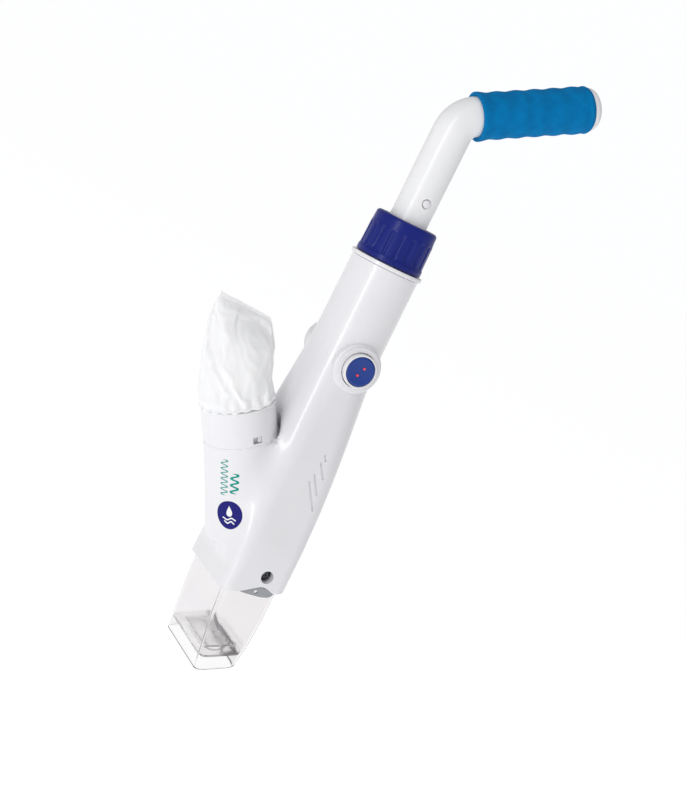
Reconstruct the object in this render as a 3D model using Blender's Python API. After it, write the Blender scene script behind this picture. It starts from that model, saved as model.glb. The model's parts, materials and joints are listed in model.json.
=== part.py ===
"""Cordless vacuum head for pools and spas: a two-shell housing with a pump, a filter bag on a side
branch, a clear nozzle below, and a bent handle held by a lock collar.

Run with: blender --background --python part.py

Numbers are in millimetres and degrees, and MM turns them into metres. The origin is on the body's
axis at the top of the lock collar, where the handle tube goes in. +Z points up the handle, +X to the
side the grip leans to, and -Y to the side with the power button.
"""

import math

import bmesh
import bpy
from mathutils import Euler, Vector

MM = 0.001
GAP = 0.3
WALL = 2.6

# The housing's cross-sections: height, left side, right side, half width along Y, corner radius.
HOUSING_SECTIONS = (
    (-40.3, -28.7, 28.7, 28.7, 28.7),
    (-100.0, -28.9, 28.9, 28.9, 28.9),
    (-118.0, -29.0, 29.1, 29.4, 28.3),
    (-145.0, -29.2, 29.8, 31.4, 25.4),
    (-175.0, -29.0, 30.4, 34.6, 20.6),
    (-205.0, -28.4, 30.9, 37.8, 16.8),
    (-240.0, -27.5, 30.9, 41.2, 13.4),
    (-275.0, -26.6, 30.2, 43.9, 11.4),
    (-330.0, -25.6, 28.8, 46.2, 10.0),
)
# The lower edge of the housing and the mouth of the nozzle are cut on planes that rise towards +X.
HOUSING_EDGE_Z = -315.6
HOUSING_EDGE_SLOPE = 0.235
MOUTH_Z = -387.0
MOUTH_SLOPE = 0.40
# The thumb notch in the front shell's edge: X and Z along its arch.
NOTCH_ARCH = (
    (-10.9, -318.4), (-6.5, -316.0), (-2.5, -313.6), (1.5, -311.2), (4.5, -309.7), (7.5, -308.9),
    (10.5, -308.9), (13.5, -309.5), (16.8, -310.6), (19.9, -311.0),
)

BRANCH_ANGLE = 31.5
COLLAR_START = 82.3
COLLAR_LENGTH = 30.0
COLLAR_RADIUS = 30.0
NECK_END = 81.8
POCKET_RADIUS = 33.0

TUBE_RADIUS = 16.0
TUBE_WALL = 1.6
TUBE_BOTTOM_Z = -90.0
CLIP_HOLE_Z = 18.8
ELBOW_Z = 90.55
ELBOW_RADIUS = 22.0
HANDLE_ANGLE = 62.0
GRIP_START = 13.6
GRIP_LENGTH = 98.0

LOCK_COLLAR_HEIGHT = 36.0
LOCK_COLLAR_RADIUS = 28.1
BUTTON_AT = (2.9, -120.6)
BUTTON_FACE = 39.0
BUTTON_RADIUS = 12.0
BUTTON_TRAVEL = 2.0
BOSS_TOP = 33.8
CHARGE_AT = (0.0, -118.5)
CHARGE_TOP = 38.2

NOZZLE_SECTIONS = (
    (-300.0, -22.0, 24.4, 41.6, 9.0),
    (-325.0, -21.6, 24.4, 42.7, 9.0),
    (-345.0, -19.8, 23.8, 43.2, 8.5),
    (-367.0, -16.8, 21.2, 43.9, 8.0),
    (-396.0, -13.0, 15.4, 44.6, 7.0),
)
NOZZLE_WALL = 2.0

# The pump's axis stands off the body's, clear of the branch.
PUMP_X = 3.0
BULKHEAD_Z = -203.0
POD_RADIUS = 18.0
POD_FLOOR_Z = -253.0
MOTOR_RADIUS = 14.0
IMPELLER_Z = -267.0
IMPELLER_RADIUS = 19.0

UP = Euler((0.0, 0.0, 0.0))
TO_FRONT = Euler((math.radians(90.0), 0.0, 0.0))
TO_BACK = Euler((math.radians(-90.0), 0.0, 0.0))
ALONG_BRANCH = Euler((0.0, math.radians(-BRANCH_ANGLE), 0.0))
ALONG_HANDLE = Euler((0.0, math.radians(HANDLE_ANGLE), 0.0))
BRANCH_ORIGIN = (-5.2, 0.0, -280.9)
ELBOW = (0.0, 0.0, ELBOW_Z)


# ---------------------------------------------------------------- scene, materials and shapes


def clear_scene():
    for obj in list(bpy.data.objects):
        bpy.data.objects.remove(obj, do_unlink=True)


def material(name, colour, roughness, metallic=0.0, transmission=0.0):
    made = bpy.data.materials.new(name)
    made.use_nodes = True
    shader = made.node_tree.nodes["Principled BSDF"]
    shader.inputs["Base Color"].default_value = (*colour, 1.0)
    shader.inputs["Roughness"].default_value = roughness
    shader.inputs["Metallic"].default_value = metallic
    shader.inputs["Transmission Weight"].default_value = transmission
    return made


def add_object(bm, name, finish, at=(0, 0, 0), turn=UP, parent=None):
    """Makes an object of a bmesh drawn in millimetres, placed at a point in millimetres."""
    bmesh.ops.remove_doubles(bm, verts=bm.verts, dist=1e-4)
    bmesh.ops.recalc_face_normals(bm, faces=bm.faces)
    bmesh.ops.scale(bm, vec=(MM, MM, MM), verts=bm.verts)
    mesh = bpy.data.meshes.new(name)
    bm.to_mesh(mesh)
    bm.free()
    mesh.materials.append(finish)
    mesh.shade_smooth()
    mesh.set_sharp_from_angle(angle=math.radians(35.0))
    obj = bpy.data.objects.new(name, mesh)
    bpy.context.scene.collection.objects.link(obj)
    obj.location = Vector(at) * MM
    obj.rotation_euler = turn
    if parent:
        obj.parent = parent
        obj.location -= parent.location
    return obj


def pivot(name, at):
    """An empty on a joint's axis, which the pieces that move on that joint hang from."""
    empty = bpy.data.objects.new(name, None)
    empty.location = Vector(at) * MM
    bpy.context.scene.collection.objects.link(empty)
    return empty


def skin(bm, loops, closed=False):
    """Joins loops of equally many points with faces, and caps both ends unless the loops close up."""
    rings = [[bm.verts.new(point) for point in loop] for loop in loops]
    pairs = list(zip(rings, rings[1:]))
    if closed:
        pairs.append((rings[-1], rings[0]))
    else:
        bm.faces.new(rings[0])
        bm.faces.new(rings[-1])
    for lower, upper in pairs:
        for i in range(len(lower)):
            j = (i + 1) % len(lower)
            bm.faces.new((lower[i], lower[j], upper[j], upper[i]))


def skinned(name, finish, loops, closed=False, at=(0, 0, 0), turn=UP, parent=None):
    bm = bmesh.new()
    skin(bm, loops, closed)
    return add_object(bm, name, finish, at, turn, parent)


def turned(name, finish, outline, steps=32, at=(0, 0, 0), turn=UP, parent=None):
    """A body turned round its own Z axis from an outline of (radius, height) points. The outline is a
    ring, or an open line from axis to axis."""
    bm = bmesh.new()
    points = [bm.verts.new((radius, 0.0, height)) for radius, height in outline]
    edges = [bm.edges.new(pair) for pair in zip(points, points[1:])]
    if outline[0][0] > 0.0:
        edges.append(bm.edges.new((points[-1], points[0])))
    bmesh.ops.spin(
        bm, geom=points + edges, cent=(0, 0, 0), axis=(0, 0, 1),
        angle=math.tau, steps=steps, use_merge=True,
    )
    return add_object(bm, name, finish, at, turn, parent)


def extruded(name, finish, outline, start, end, at=(0, 0, 0), turn=UP, parent=None):
    """A flat outline of (x, y) points, extruded along Z from start to end."""
    loops = [[(x, y, height) for x, y in outline] for height in (start, end)]
    return skinned(name, finish, loops, at=at, turn=turn, parent=parent)


def block(name, finish, low, high, at=(0, 0, 0), turn=UP, parent=None):
    outline = ((low[0], low[1]), (high[0], low[1]), (high[0], high[1]), (low[0], high[1]))
    return extruded(name, finish, outline, low[2], high[2], at, turn, parent)


def rod(name, finish, radius, start, end, steps=24, at=(0, 0, 0), turn=UP, parent=None):
    outline = ((0.0, start), (radius, start), (radius, end), (0.0, end))
    return turned(name, finish, outline, steps, at, turn, parent)


def ring(name, finish, inner, outer, start, end, steps=24, at=(0, 0, 0), turn=UP, parent=None):
    outline = ((inner, start), (outer, start), (outer, end), (inner, end))
    return turned(name, finish, outline, steps, at, turn, parent)


def combine(obj, other, operation, solver):
    """Joins another shape to obj, or cuts it away. The other shape is a helper and isn't drawn."""
    modifier = obj.modifiers.new(other.name, "BOOLEAN")
    modifier.operation = operation
    modifier.object = other
    modifier.solver = solver
    other.hide_render = True
    other.display_type = "WIRE"
    return obj


def cut(obj, *others, solver="EXACT"):
    for other in others:
        combine(obj, other, "DIFFERENCE", solver)
    return obj


def join(obj, *others, solver="EXACT"):
    for other in others:
        combine(obj, other, "UNION", solver)
    return obj


def weld(obj):
    """Merges the points that Booleans leave a rounding error apart."""
    modifier = obj.modifiers.new("weld", "WELD")
    modifier.merge_threshold = 0.01 * MM
    return obj


def circle(radius, steps, height=0.0):
    angles = [math.tau * (i + 0.5) / steps for i in range(steps)]
    return [(radius * math.cos(a), radius * math.sin(a), height) for a in angles]


def rounded_section(height, left, right, half_y, corner, per_corner=7):
    """A rectangle with round corners. With a corner as large as its half width it is a circle."""
    points = []
    for quarter, (sx, sy) in enumerate(((1, 1), (-1, 1), (-1, -1), (1, -1))):
        centre_x = right - corner if sx > 0 else left + corner
        centre_y = sy * (half_y - corner)
        for i in range(per_corner):
            angle = math.radians(90.0) * (quarter + (i + 0.5) / per_corner)
            x = centre_x + corner * math.cos(angle)
            points.append((x, centre_y + corner * math.sin(angle), height))
    return points


def sections(table, inset=0.0):
    """The loops of a table of sections, drawn in by a wall's thickness."""
    loops = []
    for height, left, right, half_y, corner in table:
        loops.append(
            rounded_section(height, left + inset, right - inset, half_y - inset, corner - inset)
        )
    return loops


def interpolated(table, height):
    """The section of a table at a height between its rows."""
    for above, below in zip(table, table[1:]):
        if below[0] <= height <= above[0]:
            share = (height - above[0]) / (below[0] - above[0])
            return [a + share * (b - a) for a, b in zip(above, below)]
    raise ValueError(f"no section at {height}")


def below_plane(name, middle_z, slope, depth=60.0, reach=80.0):
    """A cutter that fills all below the plane z = middle_z + slope * x."""
    left = middle_z - slope * reach
    right = middle_z + slope * reach
    outline = ((-reach, left), (reach, right), (reach, left - depth), (-reach, left - depth))
    # The outline is drawn in X and Y, and TO_FRONT stands it up in X and Z.
    return extruded(name, CUTTER, outline, -reach, reach, turn=TO_FRONT)


WHITE = material("white_plastic", (0.86, 0.87, 0.88), 0.28)
COVER_WHITE = material("white_paint", (0.88, 0.88, 0.88), 0.25)
NAVY = material("navy_plastic", (0.012, 0.03, 0.22), 0.3)
BLUE = material("blue_button", (0.01, 0.05, 0.40), 0.3)
GRIP_BLUE = material("grip_foam", (0.0, 0.16, 0.42), 0.75)
CLEAR = material("clear_plastic", (0.86, 0.84, 0.85), 0.08, transmission=0.9)
FABRIC = material("filter_fabric", (0.86, 0.86, 0.87), 0.9)
RUBBER = material("black_rubber", (0.02, 0.02, 0.02), 0.6)
SILICONE = material("clear_silicone", (0.85, 0.83, 0.84), 0.4, transmission=0.6)
GREY = material("grey_plastic", (0.35, 0.36, 0.38), 0.5)
STEEL = material("steel", (0.62, 0.62, 0.63), 0.3, metallic=1.0)
BRASS = material("brass", (0.72, 0.55, 0.26), 0.35, metallic=1.0)
BOARD_GREEN = material("board", (0.02, 0.16, 0.08), 0.45)
CELL_WRAP = material("cell_wrap", (0.08, 0.25, 0.42), 0.4)
RED = material("red_lens", (0.55, 0.01, 0.02), 0.2)
WIRE_RED = material("red_wire", (0.45, 0.02, 0.02), 0.5)
CUTTER = material("cutter", (0.5, 0.5, 0.5), 0.5)


# ---------------------------------------------------------------- housing

# Case screws driven from the rear: X and Z of each, and how far its post reaches from the split.
REAR_SCREWS = (
    (-21.8, -103.0, 12.8), (21.8, -103.0, 12.8), (25.2, -216.0, 30.4), (18.0, -290.0, 42.4),
)
FRONT_SCREW = (6.8, -300.4)
SCREW_SHAFT_RADIUS = 1.5
# Grip grooves: X and Z of the upper end, and the length. All of them lean the same way.
GROOVES = ((4.8, -216.5, 25.5), (6.5, -209.8, 18.4), (7.7, -199.5, 14.7), (8.3, -192.7, 6.0))
GROOVE_LEAN = 32.5
GROOVE_WIDTH = 1.7
GROOVE_DEPTH = 1.1
# The branch's outer and inner radii at its root, its middle and its tip.
NECK_OUTER = (34.9, 32.1, 30.1)
NECK_INNER = (31.6, 29.2, 26.8)


def carve(obj, *others):
    """Cuts the housing, whose many curved cutters make EXACT leave open edges."""
    return cut(obj, *others, solver="MANIFOLD")


def fuse(obj, *others):
    """Joins pieces onto the housing, for the same reason."""
    return join(obj, *others, solver="MANIFOLD")


def housing_solid(tag):
    """The whole housing as one hollow body, before it is split into shells."""
    body = skinned(tag, WHITE, sections(HOUSING_SECTIONS))
    pocket = rod(
        tag + "_pocket", CUTTER, POCKET_RADIUS, NECK_END, 200.0, 36,
        at=BRANCH_ORIGIN, turn=ALONG_BRANCH,
    )
    carve(body, pocket)
    neck = branch_cone(tag + "_neck", NECK_OUTER, 3.0, NECK_END)
    button_boss = turned(
        tag + "_button_boss", WHITE,
        ((0, 14), (20.4, 14), (20.4, 30.4), (19.4, 31.4), (18.4, 31.6), (18.4, BOSS_TOP - 0.6),
         (17.8, BOSS_TOP), (0, BOSS_TOP)),
        steps=28, at=(BUTTON_AT[0], 0, BUTTON_AT[1]), turn=TO_FRONT,
    )
    charge_boss = turned(
        tag + "_charge_boss", WHITE,
        ((0, 14), (18.1, 14), (18.1, CHARGE_TOP), (0, CHARGE_TOP)),
        steps=28, at=(CHARGE_AT[0], 0, CHARGE_AT[1]), turn=TO_BACK,
    )
    charge_hollow = ring(
        tag + "_charge_hollow", CUTTER, 8.6, 15.6, 20.0, CHARGE_TOP - WALL, 28,
        at=(CHARGE_AT[0], 0, CHARGE_AT[1]), turn=TO_BACK,
    )
    fuse(body, neck, button_boss, charge_boss)

    # Above the bulkhead the hollow is dry, so the branch and the collar's pocket keep their walls.
    dry_rows = [(-39.0, *HOUSING_SECTIONS[0][1:]), *HOUSING_SECTIONS[1:5]]
    dry_rows.append(interpolated(HOUSING_SECTIONS, BULKHEAD_Z + 2.6))
    dry = skinned(tag + "_dry", CUTTER, sections(dry_rows, WALL))
    pocket_wall = rod(
        tag + "_pocket_wall", CUTTER, POCKET_RADIUS + WALL, NECK_END - WALL, 200.0, 36,
        at=BRANCH_ORIGIN, turn=ALONG_BRANCH,
    )
    carve(dry, pocket_wall, branch_cone(tag + "_neck_wall", NECK_OUTER, 3.0, NECK_END + 0.2))

    wet_rows = [interpolated(HOUSING_SECTIONS, BULKHEAD_Z + 3.0), *HOUSING_SECTIONS[5:-1]]
    wet_rows.append((-331.0, *HOUSING_SECTIONS[-1][1:]))
    wet = skinned(tag + "_wet", CUTTER, sections(wet_rows, WALL))
    neck_hollow = branch_cone(tag + "_neck_hollow", NECK_INNER, 4.0, NECK_END + 2.2)
    edge = below_plane(tag + "_edge", HOUSING_EDGE_Z, HOUSING_EDGE_SLOPE)
    carve(body, dry, wet, neck_hollow, charge_hollow, edge)
    return body


def branch_cone(name, radii, start, end):
    """A solid along the branch that narrows from its root to the collar."""
    root, middle, tip = radii
    outline = ((0, start), (root, start), (middle, 40.0), (tip, 76.0), (tip, end), (0, end))
    return turned(name, CUTTER, outline, steps=32, at=BRANCH_ORIGIN, turn=ALONG_BRANCH)


def screw_post(tag, x, z, radius, start, end, turn):
    return rod(tag, WHITE, radius, start, end, 16, at=(x, 0, z), turn=turn)


def shell(name, keep_front):
    """One half of the housing, cut on the plane of the branch, with its screw posts."""
    obj = housing_solid(name)
    facing = TO_FRONT if keep_front else TO_BACK
    for index, (x, z, post_end) in enumerate(REAR_SCREWS):
        fuse(obj, screw_post(f"{name}_post_{index}", x, z, 3.6, GAP, post_end, facing))
    x, z = FRONT_SCREW
    inner_half_y = interpolated(HOUSING_SECTIONS, z)[3] - WALL
    fuse(obj, screw_post(name + "_lower_post", x, z, 6.9, GAP, inner_half_y + 1.0, facing))

    if keep_front:
        away = block(name + "_split", CUTTER, (-200, -0.15, -400), (200, 200, 20))
        carve(obj, away)
        cut_front_openings(obj, name)
    else:
        away = block(name + "_split", CUTTER, (-200, -200, -400), (200, 0.15, 20))
        carve(obj, away)
        cut_rear_openings(obj, name)
    return weld(obj)


def cut_front_openings(obj, name):
    button_at = (BUTTON_AT[0], 0, BUTTON_AT[1])
    seat = rod(name + "_seat", CUTTER, 14.3, 28.6, 50.0, 28, at=button_at, turn=TO_FRONT)
    stem_hole = rod(name + "_stem_hole", CUTTER, 3.6, 5.0, 40.0, 16, at=button_at, turn=TO_FRONT)
    carve(obj, seat, stem_hole)
    lean = Euler((0.0, math.radians(-GROOVE_LEAN), 0.0))
    half = GROOVE_WIDTH / 2
    core = skinned(name + "_core", CUTTER, sections(HOUSING_SECTIONS, GROOVE_DEPTH))
    for index, (x, z, length) in enumerate(GROOVES):
        groove = block(
            f"{name}_groove_{index}", CUTTER, (-half, -60, -length), (half, -20, 0), (x, 0, z), lean
        )
        carve(groove, core)
        carve(obj, groove)
    for index, (x, z, _) in enumerate(REAR_SCREWS):
        pilot = rod(f"{name}_pilot_{index}", CUTTER, 1.9, -1, 11.5, 12, at=(x, 0, z), turn=TO_FRONT)
        carve(obj, pilot)
    x, z = FRONT_SCREW
    recess = rod(name + "_recess", CUTTER, 5.3, 36.0, 60.0, 28, at=(x, 0, z), turn=TO_FRONT)
    shaft = rod(name + "_shaft", CUTTER, 1.9, -1.0, 60.0, 12, at=(x, 0, z), turn=TO_FRONT)
    notch = notch_cutter(name + "_notch")
    carve(obj, recess, shaft, notch)


def cut_rear_openings(obj, name):
    socket_at = (CHARGE_AT[0], 0, CHARGE_AT[1])
    socket = rod(name + "_socket", CUTTER, 6.3, 5.0, 60.0, 24, at=socket_at, turn=TO_BACK)
    carve(obj, socket)
    for index, (x, z, _) in enumerate(REAR_SCREWS):
        head = rod(f"{name}_head_{index}", CUTTER, 3.4, 12.0, 60.0, 16, at=(x, 0, z), turn=TO_BACK)
        shaft = rod(f"{name}_shaft_{index}", CUTTER, 1.9, -1.0, 60.0, 12, at=(x, 0, z), turn=TO_BACK)
        carve(obj, head, shaft)
    x, z = FRONT_SCREW
    pilot = rod(name + "_lower_pilot", CUTTER, 1.9, -1.0, 14.0, 12, at=(x, 0, z), turn=TO_BACK)
    carve(obj, pilot)


def notch_cutter(tag):
    """The thumb notch in the front shell's lower edge."""
    left, right = NOTCH_ARCH[0][0], NOTCH_ARCH[-1][0]
    outline = [*NOTCH_ARCH, (right, -335.0), (left, -335.0)]
    return extruded(tag, CUTTER, outline, 36.0, 60.0, turn=TO_FRONT)


def case_screw(name, x, z, head_at, length, turn, head_radius):
    """A pan-head screw whose head's underside is head_at from the split."""
    outline = (
        (0, head_at - length), (SCREW_SHAFT_RADIUS * 0.6, head_at - length),
        (SCREW_SHAFT_RADIUS, head_at - length + 1.2), (SCREW_SHAFT_RADIUS, head_at),
        (head_radius, head_at), (head_radius, head_at + 1.2),
        (head_radius * 0.7, head_at + 2.1), (0, head_at + 2.1),
    )
    return turned(name, STEEL, outline, 12, at=(x, 0, z), turn=turn)


def build_housing():
    shell("housing_front", True)
    shell("housing_rear", False)
    for index, (x, z, _) in enumerate(REAR_SCREWS, 1):
        case_screw(f"case_screw_{index}", x, z, 12.0 + GAP, 23.0, TO_BACK, 3.0)
    x, z = FRONT_SCREW
    ring("screw_washer", RUBBER, 1.9, 4.9, 36.0 + GAP, 37.6, 24, at=(x, 0, z), turn=TO_FRONT)
    case_screw("case_screw_lower", x, z, 37.6 + GAP, 47.6, TO_FRONT, 3.5)


# ---------------------------------------------------------------- pole socket and handle

SOCKET_BORE = TUBE_RADIUS + 0.5
STUB_RADIUS = 22.6
COLLET_OUTER = 20.6
SLEEVE_RADIUS = 19.4
SOCKET_BOTTOM_Z = -96.0


def build_pole_socket():
    outline = (
        (SOCKET_BORE, -92.6), (SOCKET_BORE, -30.0), (COLLET_OUTER + 0.4, -27.0),
        (COLLET_OUTER + 0.4, -4.2), (STUB_RADIUS, -4.2), (STUB_RADIUS, -36.6), (30.4, -36.6),
        (30.6, -37.2), (30.6, -39.2), (30.2, -39.9), (25.7, -39.9), (25.7, -44.0),
        (SLEEVE_RADIUS, -46.0), (SLEEVE_RADIUS, SOCKET_BOTTOM_Z), (13.0, SOCKET_BOTTOM_Z),
        (13.0, -92.6),
    )
    turned("pole_socket", WHITE, outline, 32)
    ring("socket_seal", RUBBER, 23.0, 25.4, -46.6, -44.9, 24)

    collar_turn = pivot("lock_collar_axis", (0, 0, 0))
    lock_collar(collar_turn)
    collet_turn = pivot("handle_axis", (0, 0, 0))
    collet = ring(
        "collet_ring", GREY, SOCKET_BORE - 0.15, COLLET_OUTER - 0.2, -26.0, -4.6, 36,
        parent=collet_turn,
    )
    slot = block("collet_slot", CUTTER, (0, -1.6, -40), (30, 1.6, 10))
    cut(collet, slot)
    return collet_turn


def lock_collar(parent):
    """The collar that squeezes the collet: a skirt, a band of grip ribs and a plain upper lip."""
    ribs = 18
    per_rib = 4
    steps = ribs * per_rib

    def ribbed(height, radius, depth):
        points = []
        for i in range(steps):
            groove = depth if i % per_rib in (2, 3) else 0.0
            angle = math.tau * (i + 0.5) / steps
            points.append(
                ((radius - groove) * math.cos(angle), (radius - groove) * math.sin(angle), height)
            )
        return points

    bottom = -LOCK_COLLAR_HEIGHT
    base = LOCK_COLLAR_RADIUS
    bore = STUB_RADIUS + 0.5
    mouth = TUBE_RADIUS + 1.0
    loops = [
        ribbed(bottom, base, 0.0), ribbed(-31.5, base - 0.1, 0.0), ribbed(-30.6, base - 0.6, 0.7),
        ribbed(-10.5, base - 1.3, 0.9), ribbed(-8.5, base - 1.6, 0.0), ribbed(-1.2, base - 1.9, 0.0),
        ribbed(0.0, base - 3.0, 0.0), ribbed(0.0, mouth, 0.0), ribbed(-3.6, mouth, 0.0),
        ribbed(-3.6, bore, 0.0), ribbed(bottom, bore, 0.0),
    ]
    skinned("lock_collar", NAVY, loops, closed=True, parent=parent)


def handle_path(ring_radius, steps=24):
    """Loops of one radius along the tube: straight up, round the elbow, and out to the grip's end."""
    tangent = ELBOW_RADIUS * math.tan(math.radians(HANDLE_ANGLE) / 2)
    bend_steps = 7
    end = GRIP_START + GRIP_LENGTH - 0.6
    centres = [(0.0, TUBE_BOTTOM_Z, 0.0), (0.0, ELBOW_Z - tangent, 0.0)]
    for i in range(1, bend_steps + 1):
        lean = math.radians(HANDLE_ANGLE) * i / bend_steps
        x = ELBOW_RADIUS * (1 - math.cos(lean))
        centres.append((x, ELBOW_Z - tangent + ELBOW_RADIUS * math.sin(lean), lean))
    lean = math.radians(HANDLE_ANGLE)
    centres.append((end * math.sin(lean), ELBOW_Z + end * math.cos(lean), lean))
    loops = []
    for x, z, lean in centres:
        loop = []
        for px, py, _ in circle(ring_radius, steps):
            loop.append((x + px * math.cos(lean), py, z - px * math.sin(lean)))
        loops.append(loop)
    return loops


def build_handle(parent):
    outer = handle_path(TUBE_RADIUS)
    inner = handle_path(TUBE_RADIUS - TUBE_WALL)
    tube = skinned("handle_tube", COVER_WHITE, outer + inner[::-1], closed=True, parent=parent)
    hole = rod("clip_hole", CUTTER, 3.5, 2, 30, 20, at=(0, 0, CLIP_HOLE_Z), turn=TO_FRONT)
    cut(tube, hole)
    snap_clip(parent)

    bore = TUBE_RADIUS + 0.2
    grip_end = GRIP_START + GRIP_LENGTH
    outline = [(bore, GRIP_START), (18.6, GRIP_START), (19.7, GRIP_START + 1.2)]
    ridges = 5
    first, last = GRIP_START + 5.0, grip_end - 5.0
    samples = ridges * 3
    for i in range(samples + 1):
        height = first + (last - first) * i / samples
        radius = 18.75 - 0.55 * math.cos(math.tau * ridges * i / samples)
        outline.append((radius, height))
    outline += [(19.7, grip_end - 1.2), (18.6, grip_end), (bore, grip_end)]
    turned("handle_grip", GRIP_BLUE, outline, 24, at=ELBOW, turn=ALONG_HANDLE, parent=parent)

    plug = TUBE_RADIUS - TUBE_WALL - GAP
    dome = [(17.4 * math.cos(a), grip_end + 1.6 + 8.6 * math.sin(a))
            for a in (math.radians(angle) for angle in (0, 18, 36, 54, 72))]
    cap_outline = [(0, grip_end - 12.0), (plug, grip_end - 12.0), (plug, grip_end + GAP),
                   (17.4, grip_end + GAP), *dome, (0, grip_end + 10.2)]
    turned("grip_end_cap", WHITE, cap_outline, 28, at=ELBOW, turn=ALONG_HANDLE, parent=parent)


def snap_clip(parent):
    """The button that stands in the tube's hole, on a bent leaf spring inside the tube."""
    button = (
        (0, 9.4), (5.0, 9.4), (5.0, 12.4), (3.2, 12.4), (3.2, 16.5), (2.7, 17.1), (1.5, 17.6), (0, 17.7),
    )
    travel = pivot("snap_button_axis", (0, -17.7, CLIP_HOLE_Z))
    turned("snap_button", WHITE, button, 24, at=(0, 0, CLIP_HOLE_Z), turn=TO_FRONT, parent=travel)

    # A U of strip steel: one leg behind the button, the other on the tube's far wall.
    front, back, half_strip = -9.0, 13.4, 2.5
    thickness = 0.5
    middle = (front + back) / 2
    bend_z = CLIP_HOLE_Z - 14.0
    outline = []
    for radius, order in (((back - front) / 2, 1), ((back - front) / 2 - thickness, -1)):
        side = [(middle - radius, CLIP_HOLE_Z + 4.0)]
        for i in range(9):
            angle = math.pi * (1 + i / 8)
            side.append((middle + radius * math.cos(angle), bend_z + radius * math.sin(angle)))
        side.append((middle + radius, CLIP_HOLE_Z + 4.0))
        outline += side[::order]
    loops = [[(x, y, z) for y, z in outline] for x in (-half_strip, half_strip)]
    skinned("snap_spring", STEEL, loops, parent=parent)


# ---------------------------------------------------------------- power button and electronics


def build_button():
    at = (BUTTON_AT[0], 0, BUTTON_AT[1])
    bezel = (
        (13.3, 28.9), (14.0, 28.9), (14.0, BOSS_TOP + 3.9), (13.4, BOSS_TOP + 4.7),
        (12.5, BOSS_TOP + 4.7), (12.3, BOSS_TOP + 4.3), (12.3, BOSS_TOP + 0.6), (13.3, BOSS_TOP - 0.4),
    )
    turned("button_bezel", WHITE, bezel, 28, at=at, turn=TO_FRONT)

    travel = pivot("power_button_axis", (BUTTON_AT[0], -BUTTON_FACE, BUTTON_AT[1]))
    face = BUTTON_FACE
    button = turned(
        "power_button", BLUE,
        ((0, 19.0), (3.1, 19.0), (3.1, 32.0), (12.9, 32.0), (12.9, 33.2), (BUTTON_RADIUS, 33.2),
         (BUTTON_RADIUS, face - 0.9), (BUTTON_RADIUS - 0.9, face - 0.2), (7.0, face), (0, face)),
        28, at=at, turn=TO_FRONT, parent=travel,
    )
    for index, offset in enumerate((-3.4, 3.4), 1):
        lens_at = (BUTTON_AT[0] + offset * 0.45, 0, BUTTON_AT[1] + offset)
        pocket = rod(f"lens_pocket_{index}", CUTTER, 1.3, face - 1.6, face + 5, 16, lens_at, TO_FRONT)
        cut(button, pocket)
        rod(f"indicator_lens_{index}", RED, 1.0, face - 1.3, face - 0.1, 16, lens_at, TO_FRONT, travel)
    spring_between("button_spring", 6.0, 0.45, 29.2, 31.2, 2.0, at)


def spring_between(name, radius, wire, start, end, turns, at):
    """A closed helix of round wire, along -Y from start to end."""
    around = 6
    per_turn = 16
    count = int(turns * per_turn)
    loops = []
    for i in range(count + 1):
        angle = math.tau * i / per_turn
        height = start + (end - start) * i / count
        loop = []
        for k in range(around):
            spin = math.tau * k / around
            reach = radius + wire * math.cos(spin)
            loop.append((reach * math.cos(angle), reach * math.sin(angle), height + wire * math.sin(spin)))
        loops.append(loop)
    return skinned(name, STEEL, loops, at=at, turn=TO_FRONT)


def build_electronics():
    x, z = BUTTON_AT
    block("push_switch", GREY, (x - 5, -16.6, z - 5), (x + 5, -9.3, z + 5))
    block("control_board", BOARD_GREEN, (-17, -9.0, -184.0), (17, -7.4, -100.0))
    cradle = (
        (-6.6, -187.4), (14.6, -187.4), (14.6, -185.4), (-4.9, -185.4),
        (-4.9, -119.2), (14.6, -119.2), (14.6, -117.2), (-6.6, -117.2),
    )
    # The outline is drawn in Y and Z, and extruded along X.
    loops = [[(side, y, height) for y, height in cradle] for side in (-14.0, 14.0)]
    skinned("battery_cradle", GREY, loops)
    for index, side in enumerate((-9.6, 9.6), 1):
        outline = (
            (0, -185.0), (9.0, -185.0), (9.2, -184.4), (9.2, -121.8), (8.6, -121.2), (4.0, -121.2),
            (4.0, -120.0), (0, -120.0),
        )
        turned(f"battery_cell_{index}", CELL_WRAP, outline, 24, at=(side, 4.9, 0))

    charge_port()


def charge_port():
    """The jack in the rear boss, and the cap that plugs it."""
    x, z = CHARGE_AT
    at = (x, 0, z)
    top = CHARGE_TOP
    jack = (
        (0, top - 13.6), (5.9, top - 13.6), (5.9, top - 0.4), (4.4, top - 0.4), (4.4, top - 11.6),
        (1.1, top - 11.6), (1.1, top - 2.6), (0, top - 2.2),
    )
    turned("charge_socket", RUBBER, jack, 24, at=at, turn=TO_BACK)
    travel = pivot("charge_cap_axis", (x, top + GAP, z))
    cap = (
        (0, top - 1.6), (4.0, top - 1.6), (4.0, top + GAP), (17.5, top + GAP), (18.1, top + 0.8),
        (18.1, top + 2.0), (17.3, top + 2.8), (0, top + 2.9),
    )
    turned("charge_cap", WHITE, cap, 28, at=at, turn=TO_BACK, parent=travel)


# ---------------------------------------------------------------- motor, seals and impeller


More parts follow.
